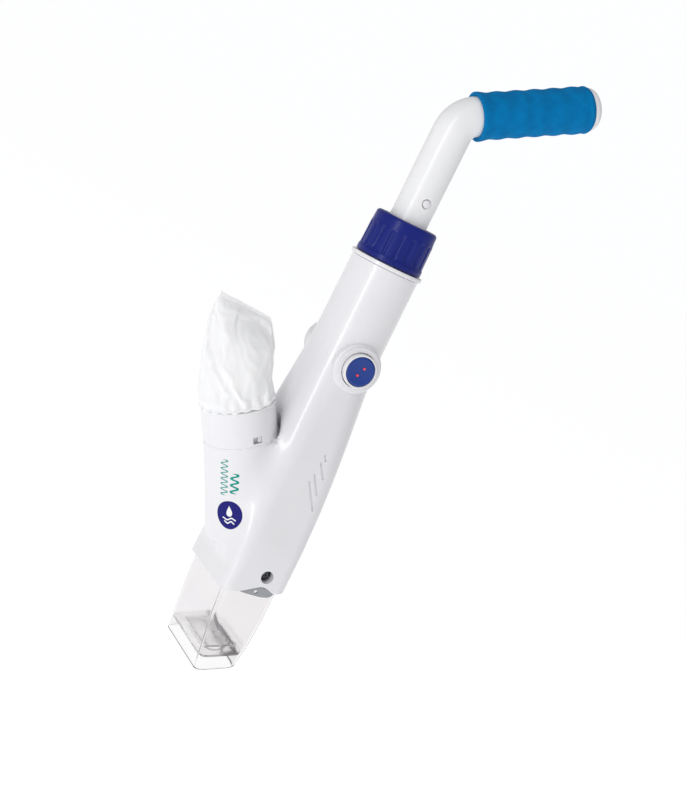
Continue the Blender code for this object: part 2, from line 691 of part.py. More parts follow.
def build_pump():
    inset = WALL + 0.5
    plate_rows = [interpolated(HOUSING_SECTIONS, BULKHEAD_Z + lift) for lift in (0.0, 2.4)]
    pod = skinned("motor_pod", GREY, sections(plate_rows, inset))
    cut(pod, branch_cone("pod_trim", [radius + 0.4 for radius in NECK_OUTER], 3.0, 120.0))
    axis = (PUMP_X, 0, 0)
    cup = rod("pod_cup", CUTTER, POD_RADIUS, POD_FLOOR_Z, BULKHEAD_Z + 1, 24, axis)
    room = rod("pod_room", CUTTER, POD_RADIUS - 2.0, POD_FLOOR_Z + 3.0, BULKHEAD_Z + 10, 24, axis)
    seal_seat = rod("pod_seal_seat", CUTTER, 6.3, POD_FLOOR_Z - 5, POD_FLOOR_Z + 10, 24, axis)
    join(pod, cup)
    cut(pod, room, seal_seat)
    weld(pod)
    lid = rod("pod_lid", GREY, POD_RADIUS + 0.6, BULKHEAD_Z + 3.5, BULKHEAD_Z + 5.5, 32, axis)
    cut(lid, rod("lead_hole", CUTTER, 2.6, BULKHEAD_Z, BULKHEAD_Z + 10, 16, (PUMP_X, -10.5, 0)))
    ring("pod_gasket", RUBBER, POD_RADIUS - 1.6, POD_RADIUS + 0.4, BULKHEAD_Z + 2.6, BULKHEAD_Z + 3.2,
         at=axis)

    floor = POD_FLOOR_Z
    top = BULKHEAD_Z - 2.0
    motor = (
        (0, floor + 14.0), (2.6, floor + 14.0), (2.6, floor + 5.2), (5.6, floor + 5.2),
        (5.6, floor + 7.0), (13.2, floor + 7.0), (MOTOR_RADIUS, floor + 7.8), (MOTOR_RADIUS, top - 0.8),
        (13.2, top), (0, top),
    )
    turned("motor", STEEL, motor, 24, at=axis)
    ring("shaft_seal", RUBBER, 2.15, 6.0, floor + 0.4, floor + 4.2, 24, at=axis)

    spin = pivot("rotor_axis", (PUMP_X, 0, IMPELLER_Z))
    rod("motor_shaft", STEEL, 2.0, IMPELLER_Z - 15.0, floor + 13.0, 20, axis, parent=spin)
    impeller(axis, spin)
    hexagon = [(px, py) for px, py, _ in circle(4.2, 6)]
    nut = extruded(
        "impeller_nut", BRASS, hexagon, IMPELLER_Z - 12.6, IMPELLER_Z - 8.6, axis, parent=spin
    )
    cut(nut, rod("nut_bore", CUTTER, 2.05, IMPELLER_Z - 20, IMPELLER_Z, 20, axis))


def impeller(axis, parent):
    """A backing disc with a hub and six curved blades, as one body."""
    low, high = IMPELLER_Z - 8.0, IMPELLER_Z + 6.0
    hub = (
        (2.05, low), (5.4, low), (5.4, high - 1.6), (IMPELLER_RADIUS, high - 1.6),
        (IMPELLER_RADIUS, high), (2.05, high),
    )
    disc = turned("impeller", GREY, hub, 28, axis, parent=parent)
    blades = 6
    arc_steps = 5
    for index in range(blades):
        inner_side = []
        outer_side = []
        for i in range(arc_steps + 1):
            share = i / arc_steps
            reach = 4.8 + (IMPELLER_RADIUS - 5.6) * share
            angle = math.tau * index / blades + 0.75 * share
            across = Vector((-math.sin(angle), math.cos(angle))) * 0.8
            point = Vector((math.cos(angle), math.sin(angle))) * reach
            inner_side.append(tuple(point + across))
            outer_side.append(tuple(point - across))
        outline = outer_side + inner_side[::-1]
        blade = extruded(f"blade_{index}", CUTTER, outline, low + 3.0, high - 1.0, axis)
        join(disc, blade)


def build_leads():
    """The motor's two leads, from the control board down through the pod's lid."""
    for index, side in enumerate((-1.0, 1.0), 1):
        x = PUMP_X + side
        route = (
            (x, -11.2, -172.0), (x, -11.6, -178.0), (x, -11.4, -184.0), (x, -10.9, -190.0),
            (x, -10.5, -196.0), (x, -10.5, -203.6),
        )
        curve = bpy.data.curves.new(f"motor_lead_{index}", "CURVE")
        curve.dimensions = "3D"
        curve.bevel_depth = 0.7 * MM
        curve.bevel_resolution = 1
        curve.use_fill_caps = True
        spline = curve.splines.new("POLY")
        spline.points.add(len(route) - 1)
        for point, place in zip(spline.points, route):
            point.co = (*(Vector(place) * MM), 1.0)
        curve.materials.append(WIRE_RED if side > 0 else RUBBER)
        obj = bpy.data.objects.new(f"motor_lead_{index}", curve)
        bpy.context.scene.collection.objects.link(obj)


# ---------------------------------------------------------------- branch, collar and filter bag

COLLAR_WALL = 2.2
SPIGOT_OUTER = 26.3
SPIGOT_INNER = 24.0
LUG_HALF_WIDTH = 1.3
LUG_ANGLE = -75.0
WINDOW_HALF_WIDTH = 3.9
WINDOW_ANGLE = -79.5


def build_branch():
    spigot = (
        (SPIGOT_INNER, 71.0), (SPIGOT_OUTER, 71.0), (SPIGOT_OUTER, 104.0), (25.4, 105.4),
        (SPIGOT_INNER, 105.4),
    )
    neck = turned("neck_spigot", WHITE, spigot, 32, at=BRANCH_ORIGIN, turn=ALONG_BRANCH)
    lug = block(
        "bag_lug", CUTTER, (25.0, -LUG_HALF_WIDTH, 85.6), (28.9, LUG_HALF_WIDTH, 90.0),
        at=BRANCH_ORIGIN, turn=branch_turn(LUG_ANGLE),
    )
    join(neck, lug)

    lift = pivot("bag_lift_axis", BRANCH_ORIGIN)
    ring("bag_seal", RUBBER, SPIGOT_OUTER + 0.3, 27.6, 99.0, 101.4, 36, at=BRANCH_ORIGIN,
         turn=ALONG_BRANCH, parent=lift)

    twist = pivot("bag_twist_axis", BRANCH_ORIGIN)
    start = COLLAR_START
    top = COLLAR_START + COLLAR_LENGTH
    inner = COLLAR_RADIUS - COLLAR_WALL
    collar = (
        (inner, start), (COLLAR_RADIUS - 0.5, start), (COLLAR_RADIUS, start + 0.6),
        (COLLAR_RADIUS, top - 3.0), (COLLAR_RADIUS + 0.7, top - 2.0), (COLLAR_RADIUS + 0.7, top - 0.6),
        (COLLAR_RADIUS, top), (25.6, top), (25.6, top - 4.2), (inner, top - 4.2),
    )
    obj = turned("bag_collar", WHITE, collar, 36, at=BRANCH_ORIGIN, turn=ALONG_BRANCH, parent=twist)
    window = block(
        "bag_window", CUTTER, (20.0, -WINDOW_HALF_WIDTH, 85.2), (40.0, WINDOW_HALF_WIDTH, 90.6),
        at=BRANCH_ORIGIN, turn=branch_turn(WINDOW_ANGLE),
    )
    groove = block(
        "bag_groove", CUTTER, (20.0, -WINDOW_HALF_WIDTH, 60.0), (29.1, WINDOW_HALF_WIDTH, 90.6),
        at=BRANCH_ORIGIN, turn=branch_turn(WINDOW_ANGLE),
    )
    cut(obj, window, groove)
    ring("bag_hoop", STEEL, 24.2, 25.2, top - 5.0, top - 3.8, 32, at=BRANCH_ORIGIN,
         turn=ALONG_BRANCH, parent=twist)
    filter_bag(twist)


def branch_turn(around):
    """Turns a piece about the branch's axis first, then lays it along the branch."""
    turn = ALONG_BRANCH.to_matrix() @ Euler((0, 0, math.radians(around))).to_matrix()
    return turn.to_euler()


# The bag's sections along the branch: distance, shift of its middle along local X, half width along
# local X, half width along local Y.
BAG_SECTIONS = (
    (112.6, 0.0, 26.6, 26.6),
    (118.0, 0.2, 30.2, 29.6),
    (128.4, 1.7, 30.0, 30.0),
    (140.7, 4.1, 29.7, 29.4),
    (151.8, 5.8, 29.6, 27.6),
    (163.9, 7.1, 29.4, 24.0),
    (174.9, 7.8, 27.6, 18.0),
    (182.0, 10.0, 23.4, 9.6),
    (188.5, 12.8, 19.1, 3.6),
)
BAG_WALL = 1.2
BAG_SLANT = 0.7
BAG_SLANT_START = 140.0


def bag_loops(inset, end_drop):
    """The bag's loops, tilted more and more towards its slanted top seam."""
    steps = 24
    loops = []
    last = BAG_SECTIONS[-1][0]
    for along, shift, half_x, half_y in BAG_SECTIONS:
        tilt = BAG_SLANT * max(0.0, (along - BAG_SLANT_START) / (last - BAG_SLANT_START))
        drop = end_drop if along == last else 0.0
        loop = []
        for i in range(steps):
            angle = math.tau * (i + 0.5) / steps
            across = (half_x - inset) * math.cos(angle)
            y = (half_y - inset) * math.sin(angle)
            loop.append((shift + across, y, along - tilt * across - drop))
        loops.append(loop)
    return loops


def filter_bag(parent):
    """A sack of non-woven cloth, open at the collar, with a flat sewn seam at its top."""
    outer = bag_loops(0.0, 0.0)
    inner = bag_loops(BAG_WALL, 1.8)
    bm = bmesh.new()
    skin_open_sack(bm, outer, inner)
    add_object(bm, "filter_bag", FABRIC, BRANCH_ORIGIN, ALONG_BRANCH, parent)


def skin_open_sack(bm, outer, inner):
    """The outer and the inner skin, each capped at the top and joined at the open lower rim."""
    rings = [[bm.verts.new(point) for point in loop] for loop in inner[::-1] + outer]
    for lower, upper in zip(rings, rings[1:]):
        for i in range(len(lower)):
            j = (i + 1) % len(lower)
            bm.faces.new((lower[i], lower[j], upper[j], upper[i]))
    bm.faces.new(rings[0])
    bm.faces.new(rings[-1])


# ---------------------------------------------------------------- nozzle, inlet plate and flap

PLATE_LIFT = 11.0
PLATE_THICKNESS = 2.0
PLATE_X = 2.3
PORT_HALF = (6.4, 26.0)
FLAP_HALF_LENGTH = 28.5
HINGE_AT = (11.6, 2.7)
PIN_RADIUS = 1.0
SEAL_ROOM = 0.6
SEAL_SEAT_GAP = 0.12
LATCH_OUTLINE = (
    (-9.6, -318.4), (-6.4, -316.8), (-2.5, -314.4), (1.5, -312.0), (4.6, -310.5), (7.5, -309.7),
    (10.4, -309.7), (13.4, -310.3), (16.6, -311.4), (18.6, -311.9), (17.2, -314.4), (14.7, -316.2),
    (10.0, -317.4), (4.9, -317.9), (-3.2, -318.4),
)
LATCH_HOLE = (3.4, -314.6)
MOUTH_TURN = Euler((0.0, -math.atan(MOUTH_SLOPE), 0.0))
PLATE_AT = (PLATE_X, 0.0, MOUTH_Z + PLATE_LIFT + PLATE_THICKNESS + MOUTH_SLOPE * PLATE_X)


def build_nozzle():
    travel = pivot("nozzle_axis", (0, 0, HOUSING_EDGE_Z))
    outer = sections(NOZZLE_SECTIONS)
    inner = sections(NOZZLE_SECTIONS, NOZZLE_WALL)
    nozzle = skinned("nozzle", CLEAR, outer + inner[::-1], closed=True, parent=travel)
    x, z = FRONT_SCREW
    post_slot = rod("nozzle_post_slot", CUTTER, 7.4, -60, 60, 28, at=(x, 0, z), turn=TO_FRONT)
    cut(nozzle, below_plane("nozzle_mouth_cut", MOUTH_Z, MOUTH_SLOPE), post_slot)

    nozzle_seal(travel)
    nozzle_latch(travel)
    inlet_plate(travel)
    inlet_flap()


def nozzle_seal(parent):
    """A gasket round the nozzle, in the gap to the housing's inner wall. The housing narrows towards
    its edge, so the gasket has room to slide down past it."""
    loops = []
    for height in (-309.0, -307.4):
        loops += sections([interpolated(HOUSING_SECTIONS, height)], WALL + SEAL_ROOM)
    for height in (-307.4, -309.0):
        loops += sections([interpolated(NOZZLE_SECTIONS, height)], -SEAL_SEAT_GAP)
    skinned("nozzle_seal", RUBBER, loops, closed=True, parent=parent)


def nozzle_latch(parent):
    """The catch plate on the nozzle's front, which shows in the housing's notch."""
    plate = extruded("nozzle_latch", GREY, LATCH_OUTLINE, 42.8, 44.6, turn=TO_FRONT, parent=parent)
    hole_x, hole_z = LATCH_HOLE
    cut(plate, rod("latch_hole", CUTTER, 1.6, 40.0, 50.0, 16, at=(hole_x, 0, hole_z), turn=TO_FRONT))


def stadium(half_x, half_y, per_end=8):
    """An outline with straight sides along Y and round ends."""
    points = []
    for end in (1, -1):
        for i in range(per_end + 1):
            angle = math.pi * i / per_end + (0.0 if end > 0 else math.pi)
            y = end * (half_y - half_x) + half_x * math.sin(angle)
            points.append((half_x * math.cos(angle), y))
    return points


def inlet_plate(parent):
    """A slanted plate across the nozzle, with a lipped port and two ears for the flap's pin."""
    plate = skinned("inlet_plate", CLEAR, sections(NOZZLE_SECTIONS[1:], NOZZLE_WALL + GAP), parent=parent)
    below = below_plane("plate_underside", MOUTH_Z + PLATE_LIFT, MOUTH_SLOPE)
    above = block("plate_topside", CUTTER, (-90, -90, 0), (90, 90, 120), PLATE_AT, MOUTH_TURN)
    cut(plate, below, above)
    half_x, half_y = PORT_HALF
    lip = extruded("port_lip", CUTTER, stadium(half_x + 1.6, half_y + 1.6), -3.6, -1.0, PLATE_AT, MOUTH_TURN)
    join(plate, lip)
    hinge_x, hinge_z = HINGE_AT
    for side in (-1, 1):
        low_y, high_y = sorted((side * 30.2, side * 32.2))
        ear = block(
            f"ear_{side + 1}", CUTTER, (hinge_x - 2.4, low_y, -1.0), (hinge_x + 2.4, high_y, hinge_z + 2.2),
            PLATE_AT, MOUTH_TURN,
        )
        join(plate, ear)
    port = extruded("port", CUTTER, stadium(half_x, half_y), -10, 10, PLATE_AT, MOUTH_TURN)
    pin_hole = hinge_rod("pin_hole", CUTTER, PIN_RADIUS + 0.25, 60.0)
    cut(plate, port, pin_hole)
    weld(plate)
    hinge_rod("flap_pin", STEEL, PIN_RADIUS, 33.4, parent)


def hinge_rod(name, finish, radius, half_length, parent=None):
    """A rod along Y on the flap's hinge axis."""
    turn = MOUTH_TURN.to_matrix() @ TO_FRONT.to_matrix()
    return rod(name, finish, radius, -half_length, half_length, 16, hinge_point(), turn.to_euler(), parent)


def hinge_point():
    hinge_x, hinge_z = HINGE_AT
    return tuple(Vector(PLATE_AT) + MOUTH_TURN.to_matrix() @ Vector((hinge_x, 0.0, hinge_z)))


def inlet_flap():
    """A rubber flap that rests over the port and swings up on its pin."""
    hinge = pivot("flap_axis", hinge_point())
    hinge_x, hinge_z = HINGE_AT
    low, high = 0.5 - hinge_z, 1.9 - hinge_z
    half = FLAP_HALF_LENGTH
    flap = block(
        "inlet_flap", SILICONE, (-9.0 - hinge_x, -half, low), (-0.6, half, high), hinge_point(), MOUTH_TURN,
        parent=hinge,
    )
    join(flap, hinge_rod("flap_knuckle", CUTTER, 2.1, half))
    cut(flap, hinge_rod("flap_bore", CUTTER, PIN_RADIUS + 0.25, 60.0))
    weld(flap)


def main():
    build_housing()
    handle_axis = build_pole_socket()
    build_handle(handle_axis)
    build_button()
    build_electronics()
    build_pump()
    build_leads()
    build_branch()
    build_nozzle()


clear_scene()
main()
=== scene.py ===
"""Looks for a cordless pool and spa vacuum head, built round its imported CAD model.

Sizes are in millimetres in the row frame: +Z up the handle tube, +X to the side the grip leans to,
-Y to the side with the power button. MM turns them into metres.
"""

import json
import math

import bmesh
import bpy
import numpy as np
from mathutils import Euler, Matrix, Vector, noise


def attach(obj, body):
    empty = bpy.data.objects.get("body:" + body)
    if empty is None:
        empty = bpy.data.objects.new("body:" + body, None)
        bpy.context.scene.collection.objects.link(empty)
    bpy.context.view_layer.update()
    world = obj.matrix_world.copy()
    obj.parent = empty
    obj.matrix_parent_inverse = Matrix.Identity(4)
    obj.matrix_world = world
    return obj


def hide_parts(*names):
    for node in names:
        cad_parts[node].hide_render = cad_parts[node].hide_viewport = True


MM = 0.001
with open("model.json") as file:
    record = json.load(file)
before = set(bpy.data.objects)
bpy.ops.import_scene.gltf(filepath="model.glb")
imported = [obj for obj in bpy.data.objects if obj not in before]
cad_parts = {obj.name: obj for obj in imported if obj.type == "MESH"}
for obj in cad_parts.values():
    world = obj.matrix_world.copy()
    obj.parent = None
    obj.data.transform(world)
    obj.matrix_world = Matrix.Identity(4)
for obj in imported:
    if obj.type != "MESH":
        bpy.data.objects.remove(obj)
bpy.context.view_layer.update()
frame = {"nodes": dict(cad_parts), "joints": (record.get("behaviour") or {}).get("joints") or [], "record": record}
JOINTS = {joint["name"]: joint for joint in frame["joints"]}

# The branch's axis, as the bag's joint states it.
BRANCH_AXIS = Vector(JOINTS["bag_twist"]["axis"]).normalized()
BRANCH_ORIGIN = Vector(JOINTS["bag_twist"]["pos_m"]) / MM
BRANCH_SIDE = Vector((BRANCH_AXIS.z, 0.0, -BRANCH_AXIS.x))
BRANCH_ANGLE = math.atan2(-BRANCH_AXIS.x, BRANCH_AXIS.z)

# Housing: height, left side, right side, half width along Y, corner radius.
HOUSING_SECTIONS = (
    (-20.0, -28.6, 28.6, 28.6, 28.6),
    (-100.0, -28.9, 28.9, 28.9, 28.9),
    (-118.0, -29.0, 29.1, 29.4, 28.3),
    (-145.0, -29.2, 29.8, 31.4, 25.4),
    (-175.0, -29.0, 30.4, 34.6, 20.6),
    (-205.0, -28.4, 30.9, 37.8, 16.8),
    (-240.0, -27.5, 30.9, 41.2, 13.4),
    (-275.0, -26.6, 30.2, 43.9, 11.4),
    (-350.0, -25.2, 28.2, 47.0, 9.6),
)
HOUSING_TOP = -40.3
BULKHEAD_Z = -203.0
EDGE_Z = -315.6
EDGE_SLOPE = 0.235
WALL = 2.6
NECK_START = 3.0
NECK_END = 81.8
NECK_RADII = ((3.0, 34.9), (40.0, 32.1), (76.0, 30.1), (90.0, 30.1))
POCKET_RADIUS = 33.0
BLEND = 15.0
POCKET_ROUNDING = 3.0
VOXEL = 1.4

NOZZLE_TOP = -300.0
MOUTH_Z = -387.0
MOUTH_SLOPE = 0.40
NOZZLE_SECTIONS = (
    (-300.0, -22.0, 24.4, 41.6, 9.0),
    (-325.0, -21.6, 24.4, 42.7, 9.0),
    (-345.0, -19.8, 23.8, 43.2, 8.5),
    (-367.0, -16.8, 21.2, 43.9, 8.0),
    (-396.0, -13.0, 15.4, 44.6, 7.0),
)
NOZZLE_WALL = 2.0

BUTTON_PLACE = (2.9, 0.0, -120.6)
BUTTON_FACE = 39.0
DISH_RADIUS = 10.4
BOSS_TOP = 33.8
BOSS_START = 14.0
CHARGE_PLACE = (0.0, 0.0, -118.5)
CHARGE_TOP = 38.2
CHARGE_RADIUS = 18.1
TUBE_RADIUS = 16.0
TUBE_WALL = 1.6
TUBE_FOOT = -90.0
CLIP_HOLE_Z = 18.8
ELBOW_Z = 90.55
ELBOW_RADIUS = 22.0
HANDLE_ANGLE = math.radians(62.0)
GRIP_START = 13.6
GRIP_LENGTH = 98.0
GRIP_RADIUS = 18.7
GRIP_RIDGES = 5.5
RIDGE_HEIGHT = 0.42
PLUG_RADIUS = 17.4
COLLAR_START = 82.3
COLLAR_LENGTH = 30.0
COLLAR_RADIUS = 30.0

SHARP_EDGE = 38.0
UP = Euler((0.0, 0.0, 0.0))
TO_FRONT = Euler((math.radians(90.0), 0.0, 0.0))
TO_BACK = Euler((math.radians(-90.0), 0.0, 0.0))
ALONG_BRANCH = Euler((0.0, -BRANCH_ANGLE, 0.0))
ALONG_HANDLE = Euler((0.0, HANDLE_ANGLE, 0.0))


# ---------------------------------------------------------------- materials


def new_material(name, colour, roughness, metallic=0.0):
    made = bpy.data.materials.new(name)
    made.use_nodes = True
    shader = made.node_tree.nodes["Principled BSDF"]
    shader.inputs["Base Color"].default_value = (*colour, 1.0)
    shader.inputs["Roughness"].default_value = roughness
    shader.inputs["Metallic"].default_value = metallic
    return made, made.node_tree, shader


def noise_field(tree, scale, detail=3.0, stretch=(1.0, 1.0, 1.0)):
    """The output of a noise texture laid in the object's own coordinates."""
    coords = tree.nodes.new("ShaderNodeTexCoord")
    mapping = tree.nodes.new("ShaderNodeMapping")
    mapping.inputs["Scale"].default_value = stretch
    made = tree.nodes.new("ShaderNodeTexNoise")
    made.inputs["Scale"].default_value = scale
    made.inputs["Detail"].default_value = detail
    tree.links.new(coords.outputs["Object"], mapping.inputs["Vector"])
    tree.links.new(mapping.outputs["Vector"], made.inputs["Vector"])
    return made.outputs["Fac"]


def vary_roughness(tree, shader, source, low, high):
    spread = tree.nodes.new("ShaderNodeMapRange")
    spread.inputs["To Min"].default_value = low
    spread.inputs["To Max"].default_value = high
    tree.links.new(source, spread.inputs["Value"])
    tree.links.new(spread.outputs["Result"], shader.inputs["Roughness"])


def vary_colour(tree, shader, source, dark, light):
    ramp = tree.nodes.new("ShaderNodeValToRGB")
    ramp.color_ramp.elements[0].position = 0.3
    ramp.color_ramp.elements[0].color = (*dark, 1.0)
    ramp.color_ramp.elements[1].position = 0.7
    ramp.color_ramp.elements[1].color = (*light, 1.0)
    tree.links.new(source, ramp.inputs["Fac"])
    tree.links.new(ramp.outputs["Color"], shader.inputs["Base Color"])


def add_bump(tree, shader, height, strength, distance):
    bump = tree.nodes.new("ShaderNodeBump")
    bump.inputs["Strength"].default_value = strength
    bump.inputs["Distance"].default_value = distance * MM
    tree.links.new(height, bump.inputs["Height"])
    tree.links.new(bump.outputs["Normal"], shader.inputs["Normal"])


def moulded(name, colour, roughness, coat=0.0, grain=0.02, tint=0.96, specular=0.5):
    """Moulded plastic: faint flow marks in its colour, uneven gloss and a fine skin texture."""
    made, tree, shader = new_material(name, colour, roughness)
    shader.inputs["Coat Weight"].default_value = coat
    shader.inputs["Coat Roughness"].default_value = 0.08
    shader.inputs["Specular IOR Level"].default_value = specular
    dark = tuple(channel * tint for channel in colour)
    vary_colour(tree, shader, noise_field(tree, 14.0, 2.0), dark, colour)
    vary_roughness(tree, shader, noise_field(tree, 60.0), roughness * 0.85, roughness * 1.2)
    add_bump(tree, shader, noise_field(tree, 1500.0, 2.0), 0.25, grain)
    return made


def foam():
    """Closed-cell foam: a fine pebbled skin with a soft mottle in its colour."""
    made, tree, shader = new_material("grip_foam", (0.0, 0.16, 0.40), 0.9)
    vary_colour(tree, shader, noise_field(tree, 120.0, 5.0), (0.0, 0.14, 0.36), (0.0, 0.18, 0.44))
    vary_roughness(tree, shader, noise_field(tree, 200.0), 0.82, 0.95)
    add_bump(tree, shader, noise_field(tree, 900.0, 4.0), 0.5, 0.12)
    shader.inputs["Specular IOR Level"].default_value = 0.1
    return made


def clear(name, colour, roughness, clearness=1.0, ior=1.46):
    """Clear or cloudy plastic, with slow waves in its skin."""
    made, tree, shader = new_material(name, colour, roughness)
    shader.inputs["Transmission Weight"].default_value = clearness
    shader.inputs["IOR"].default_value = ior
    vary_roughness(tree, shader, noise_field(tree, 40.0), roughness * 0.6, roughness * 1.6)
    add_bump(tree, shader, noise_field(tree, 35.0, 1.0), 0.25, 0.12)
    return made


def nonwoven():
    """Thin non-woven cloth: laid fibres in two directions, a soft mottle, and light through it."""
    made, tree, shader = new_material("filter_cloth", (0.93, 0.93, 0.93), 0.9)
    shader.inputs["Sheen Weight"].default_value = 0.25
    shader.inputs["Subsurface Weight"].default_value = 0.2
    shader.inputs["Subsurface Radius"].default_value = (1.0, 1.0, 1.0)
    shader.inputs["Subsurface Scale"].default_value = 0.004
    vary_colour(tree, shader, noise_field(tree, 24.0, 3.0), (0.90, 0.90, 0.92), (0.97, 0.97, 0.97))
    mixed = tree.nodes.new("ShaderNodeMath")
    mixed.operation = "ADD"
    for i, stretch in enumerate(((1.0, 1.0, 0.18), (0.2, 1.0, 1.0))):
        tree.links.new(noise_field(tree, 700.0, 4.0, stretch), mixed.inputs[i])
    add_bump(tree, shader, mixed.outputs["Value"], 0.5, 0.12)
    return made


def metal(name, colour, roughness):
    """Plain metal with fine turning marks and an uneven polish."""
    made, tree, shader = new_material(name, colour, roughness, metallic=1.0)
    marks = noise_field(tree, 500.0, 3.0, (1.0, 1.0, 8.0))
    vary_roughness(tree, shader, marks, roughness * 0.7, roughness * 1.4)
    add_bump(tree, shader, marks, 0.2, 0.02)
    return made


def glowing_lens():
    made, _, shader = new_material("red_lens", (0.6, 0.01, 0.03), 0.15)
    shader.inputs["Emission Color"].default_value = (0.9, 0.02, 0.04, 1.0)
    shader.inputs["Emission Strength"].default_value = 0.35
    shader.inputs["Coat Weight"].default_value = 1.0
    return made


# Colour, roughness and whatever else differs from plain moulded plastic.
MOULDED = {
    "white_plastic": ((0.77, 0.767, 0.79), 0.3, {"coat": 0.35}),
    "white_tube": ((0.82, 0.82, 0.825), 0.33, {"coat": 0.25}),
    "navy_plastic": ((0.006, 0.014, 0.18), 0.3, {"coat": 0.04, "tint": 0.8, "specular": 0.2}),
    "blue_plastic": ((0.006, 0.04, 0.26), 0.32, {"coat": 0.1, "tint": 0.85, "specular": 0.35}),
    "black_rubber": ((0.02, 0.02, 0.022), 0.6, {"grain": 0.05, "tint": 0.7}),
    "grey_plastic": ((0.33, 0.34, 0.36), 0.5, {"tint": 0.85}),
    "board": ((0.02, 0.17, 0.08), 0.4, {"tint": 0.8}),
    "cell_wrap": ((0.07, 0.24, 0.42), 0.35, {"tint": 0.85}),
    "red_wire": ((0.45, 0.02, 0.02), 0.5, {"tint": 0.8}),
}
CLEAR = {
    "clear_plastic": ((0.90, 0.887, 0.892), 0.07),
    "clear_plate": ((0.98, 0.975, 0.975), 0.12, 0.9, 1.15),
    "clear_silicone": ((0.98, 0.97, 0.975), 0.25, 0.85, 1.15),
}
METALS = {
    "steel": ((0.60, 0.60, 0.61), 0.3),
    "dark_steel": ((0.10, 0.105, 0.12), 0.4),
    "brass": ((0.72, 0.54, 0.25), 0.3),
}
MATERIALS = {name: moulded(name, *looks, **extra) for name, (*looks, extra) in MOULDED.items()}
MATERIALS.update({name: clear(name, *looks) for name, looks in CLEAR.items()})
MATERIALS.update({name: metal(name, *looks) for name, looks in METALS.items()})
MATERIALS.update({"blue_foam": foam(), "filter_fabric": nonwoven(), "red_lens": glowing_lens()})
TEAL = moulded("teal_print", (0.0, 0.30, 0.25), 0.5, tint=0.9, specular=0.2)
NAVY_PRINT = moulded("navy_print", (0.007, 0.006, 0.17), 0.5, tint=0.9, specular=0.2)
WHITE_PRINT = moulded("white_print", (0.85, 0.85, 0.86), 0.35)


def dress_cad_nodes():
    """Gives every CAD node the finish of its slot in the record."""
    for entry in frame["record"]["subparts"]:
        node = frame["nodes"][entry["node"]]
        node.data.materials.clear()
        node.data.materials.append(MATERIALS[entry["material_slot"]])
        node.data.shade_smooth()
        node.data.set_sharp_from_angle(angle=math.radians(35.0))


# ---------------------------------------------------------------- shapes


def add_object(bm, name, finish=None, at=(0, 0, 0), turn=UP):
    """Makes an object of a bmesh drawn in millimetres, placed at a point in millimetres."""
    bmesh.ops.remove_doubles(bm, verts=bm.verts, dist=1e-4)
    bmesh.ops.recalc_face_normals(bm, faces=bm.faces)
    place = Matrix.LocRotScale(Vector(at) * MM, turn, Vector((MM, MM, MM)))
    bmesh.ops.transform(bm, matrix=place, verts=bm.verts)
    mesh = bpy.data.meshes.new(name)
    bm.to_mesh(mesh)
    bm.free()
    if finish:
        mesh.materials.append(finish)
    mesh.shade_smooth()
    mesh.set_sharp_from_angle(angle=math.radians(SHARP_EDGE))
    obj = bpy.data.objects.new(name, mesh)
    bpy.context.scene.collection.objects.link(obj)
    return obj


def add_bands(bm, rings, wrap=True):
    """Joins each ring of points to the next with a band of faces."""
    for lower, upper in zip(rings, rings[1:]):
        for i in range(len(lower) if wrap else len(lower) - 1):
            j = (i + 1) % len(lower)
            bm.faces.new((lower[i], lower[j], upper[j], upper[i]))


def skinned(name, loops, closed=False, at=(0, 0, 0), turn=UP):
    """Joins loops of equally many points, and caps both ends unless the last meets the first."""
    bm = bmesh.new()
    rings = [[bm.verts.new(point) for point in loop] for loop in loops]
    if closed:
        rings.append(rings[0])
    else:
        bm.faces.new(rings[0])
        bm.faces.new(rings[-1])
    add_bands(bm, rings)
    return add_object(bm, name, None, at, turn)


def rounded(outline, radius, closed, steps=4):
    """Rounds the corners of a line of (radius, height) points, leaving those on the axis sharp."""
    count = len(outline)
    points = []
    for i, corner in enumerate(outline):
        at_end = not closed and i in (0, count - 1)
        if at_end or corner[0] <= 0.0:
            points.append(tuple(corner))
            continue
        here = Vector(corner)
        before = Vector(outline[i - 1]) - here
        after = Vector(outline[(i + 1) % count]) - here
        reach = min(radius, 0.45 * before.length, 0.45 * after.length)
        start = here + before.normalized() * reach
        end = here + after.normalized() * reach
        for k in range(steps + 1):
            t = k / steps
            point = start * (1 - t) ** 2 + here * 2 * t * (1 - t) + end * t * t
            points.append(tuple(point))
    return points


def turned(name, outline, steps=72, at=(0, 0, 0), turn=UP, radius=0.4):
    """A body turned round its own Z axis. The outline is a ring, or a line from axis to axis."""
    closed = outline[0][0] > 0.0
    if radius:
        outline = rounded(outline, radius, closed)
    bm = bmesh.new()
    points = [bm.verts.new((reach, 0.0, height)) for reach, height in outline]
    edges = [bm.edges.new(pair) for pair in zip(points, points[1:])]
    if closed:
        edges.append(bm.edges.new((points[-1], points[0])))
    bmesh.ops.spin(
        bm, geom=points + edges, cent=(0, 0, 0), axis=(0, 0, 1),
        angle=math.tau, steps=steps, use_merge=True,
    )
    return add_object(bm, name, None, at, turn)


def rod(name, radius, start, end, at=(0, 0, 0), turn=UP, steps=48):
    outline = ((0.0, start), (radius, start), (radius, end), (0.0, end))
    return turned(name, outline, steps, at, turn, radius=0.0)


def extruded(name, outline, start, end, at=(0, 0, 0), turn=UP):
    loops = [[(x, y, height) for x, y in outline] for height in (start, end)]
    return skinned(name, loops, at=at, turn=turn)


def block(name, low, high, at=(0, 0, 0), turn=UP):
    outline = ((low[0], low[1]), (high[0], low[1]), (high[0], high[1]), (low[0], high[1]))
    return extruded(name, outline, low[2], high[2], at, turn)


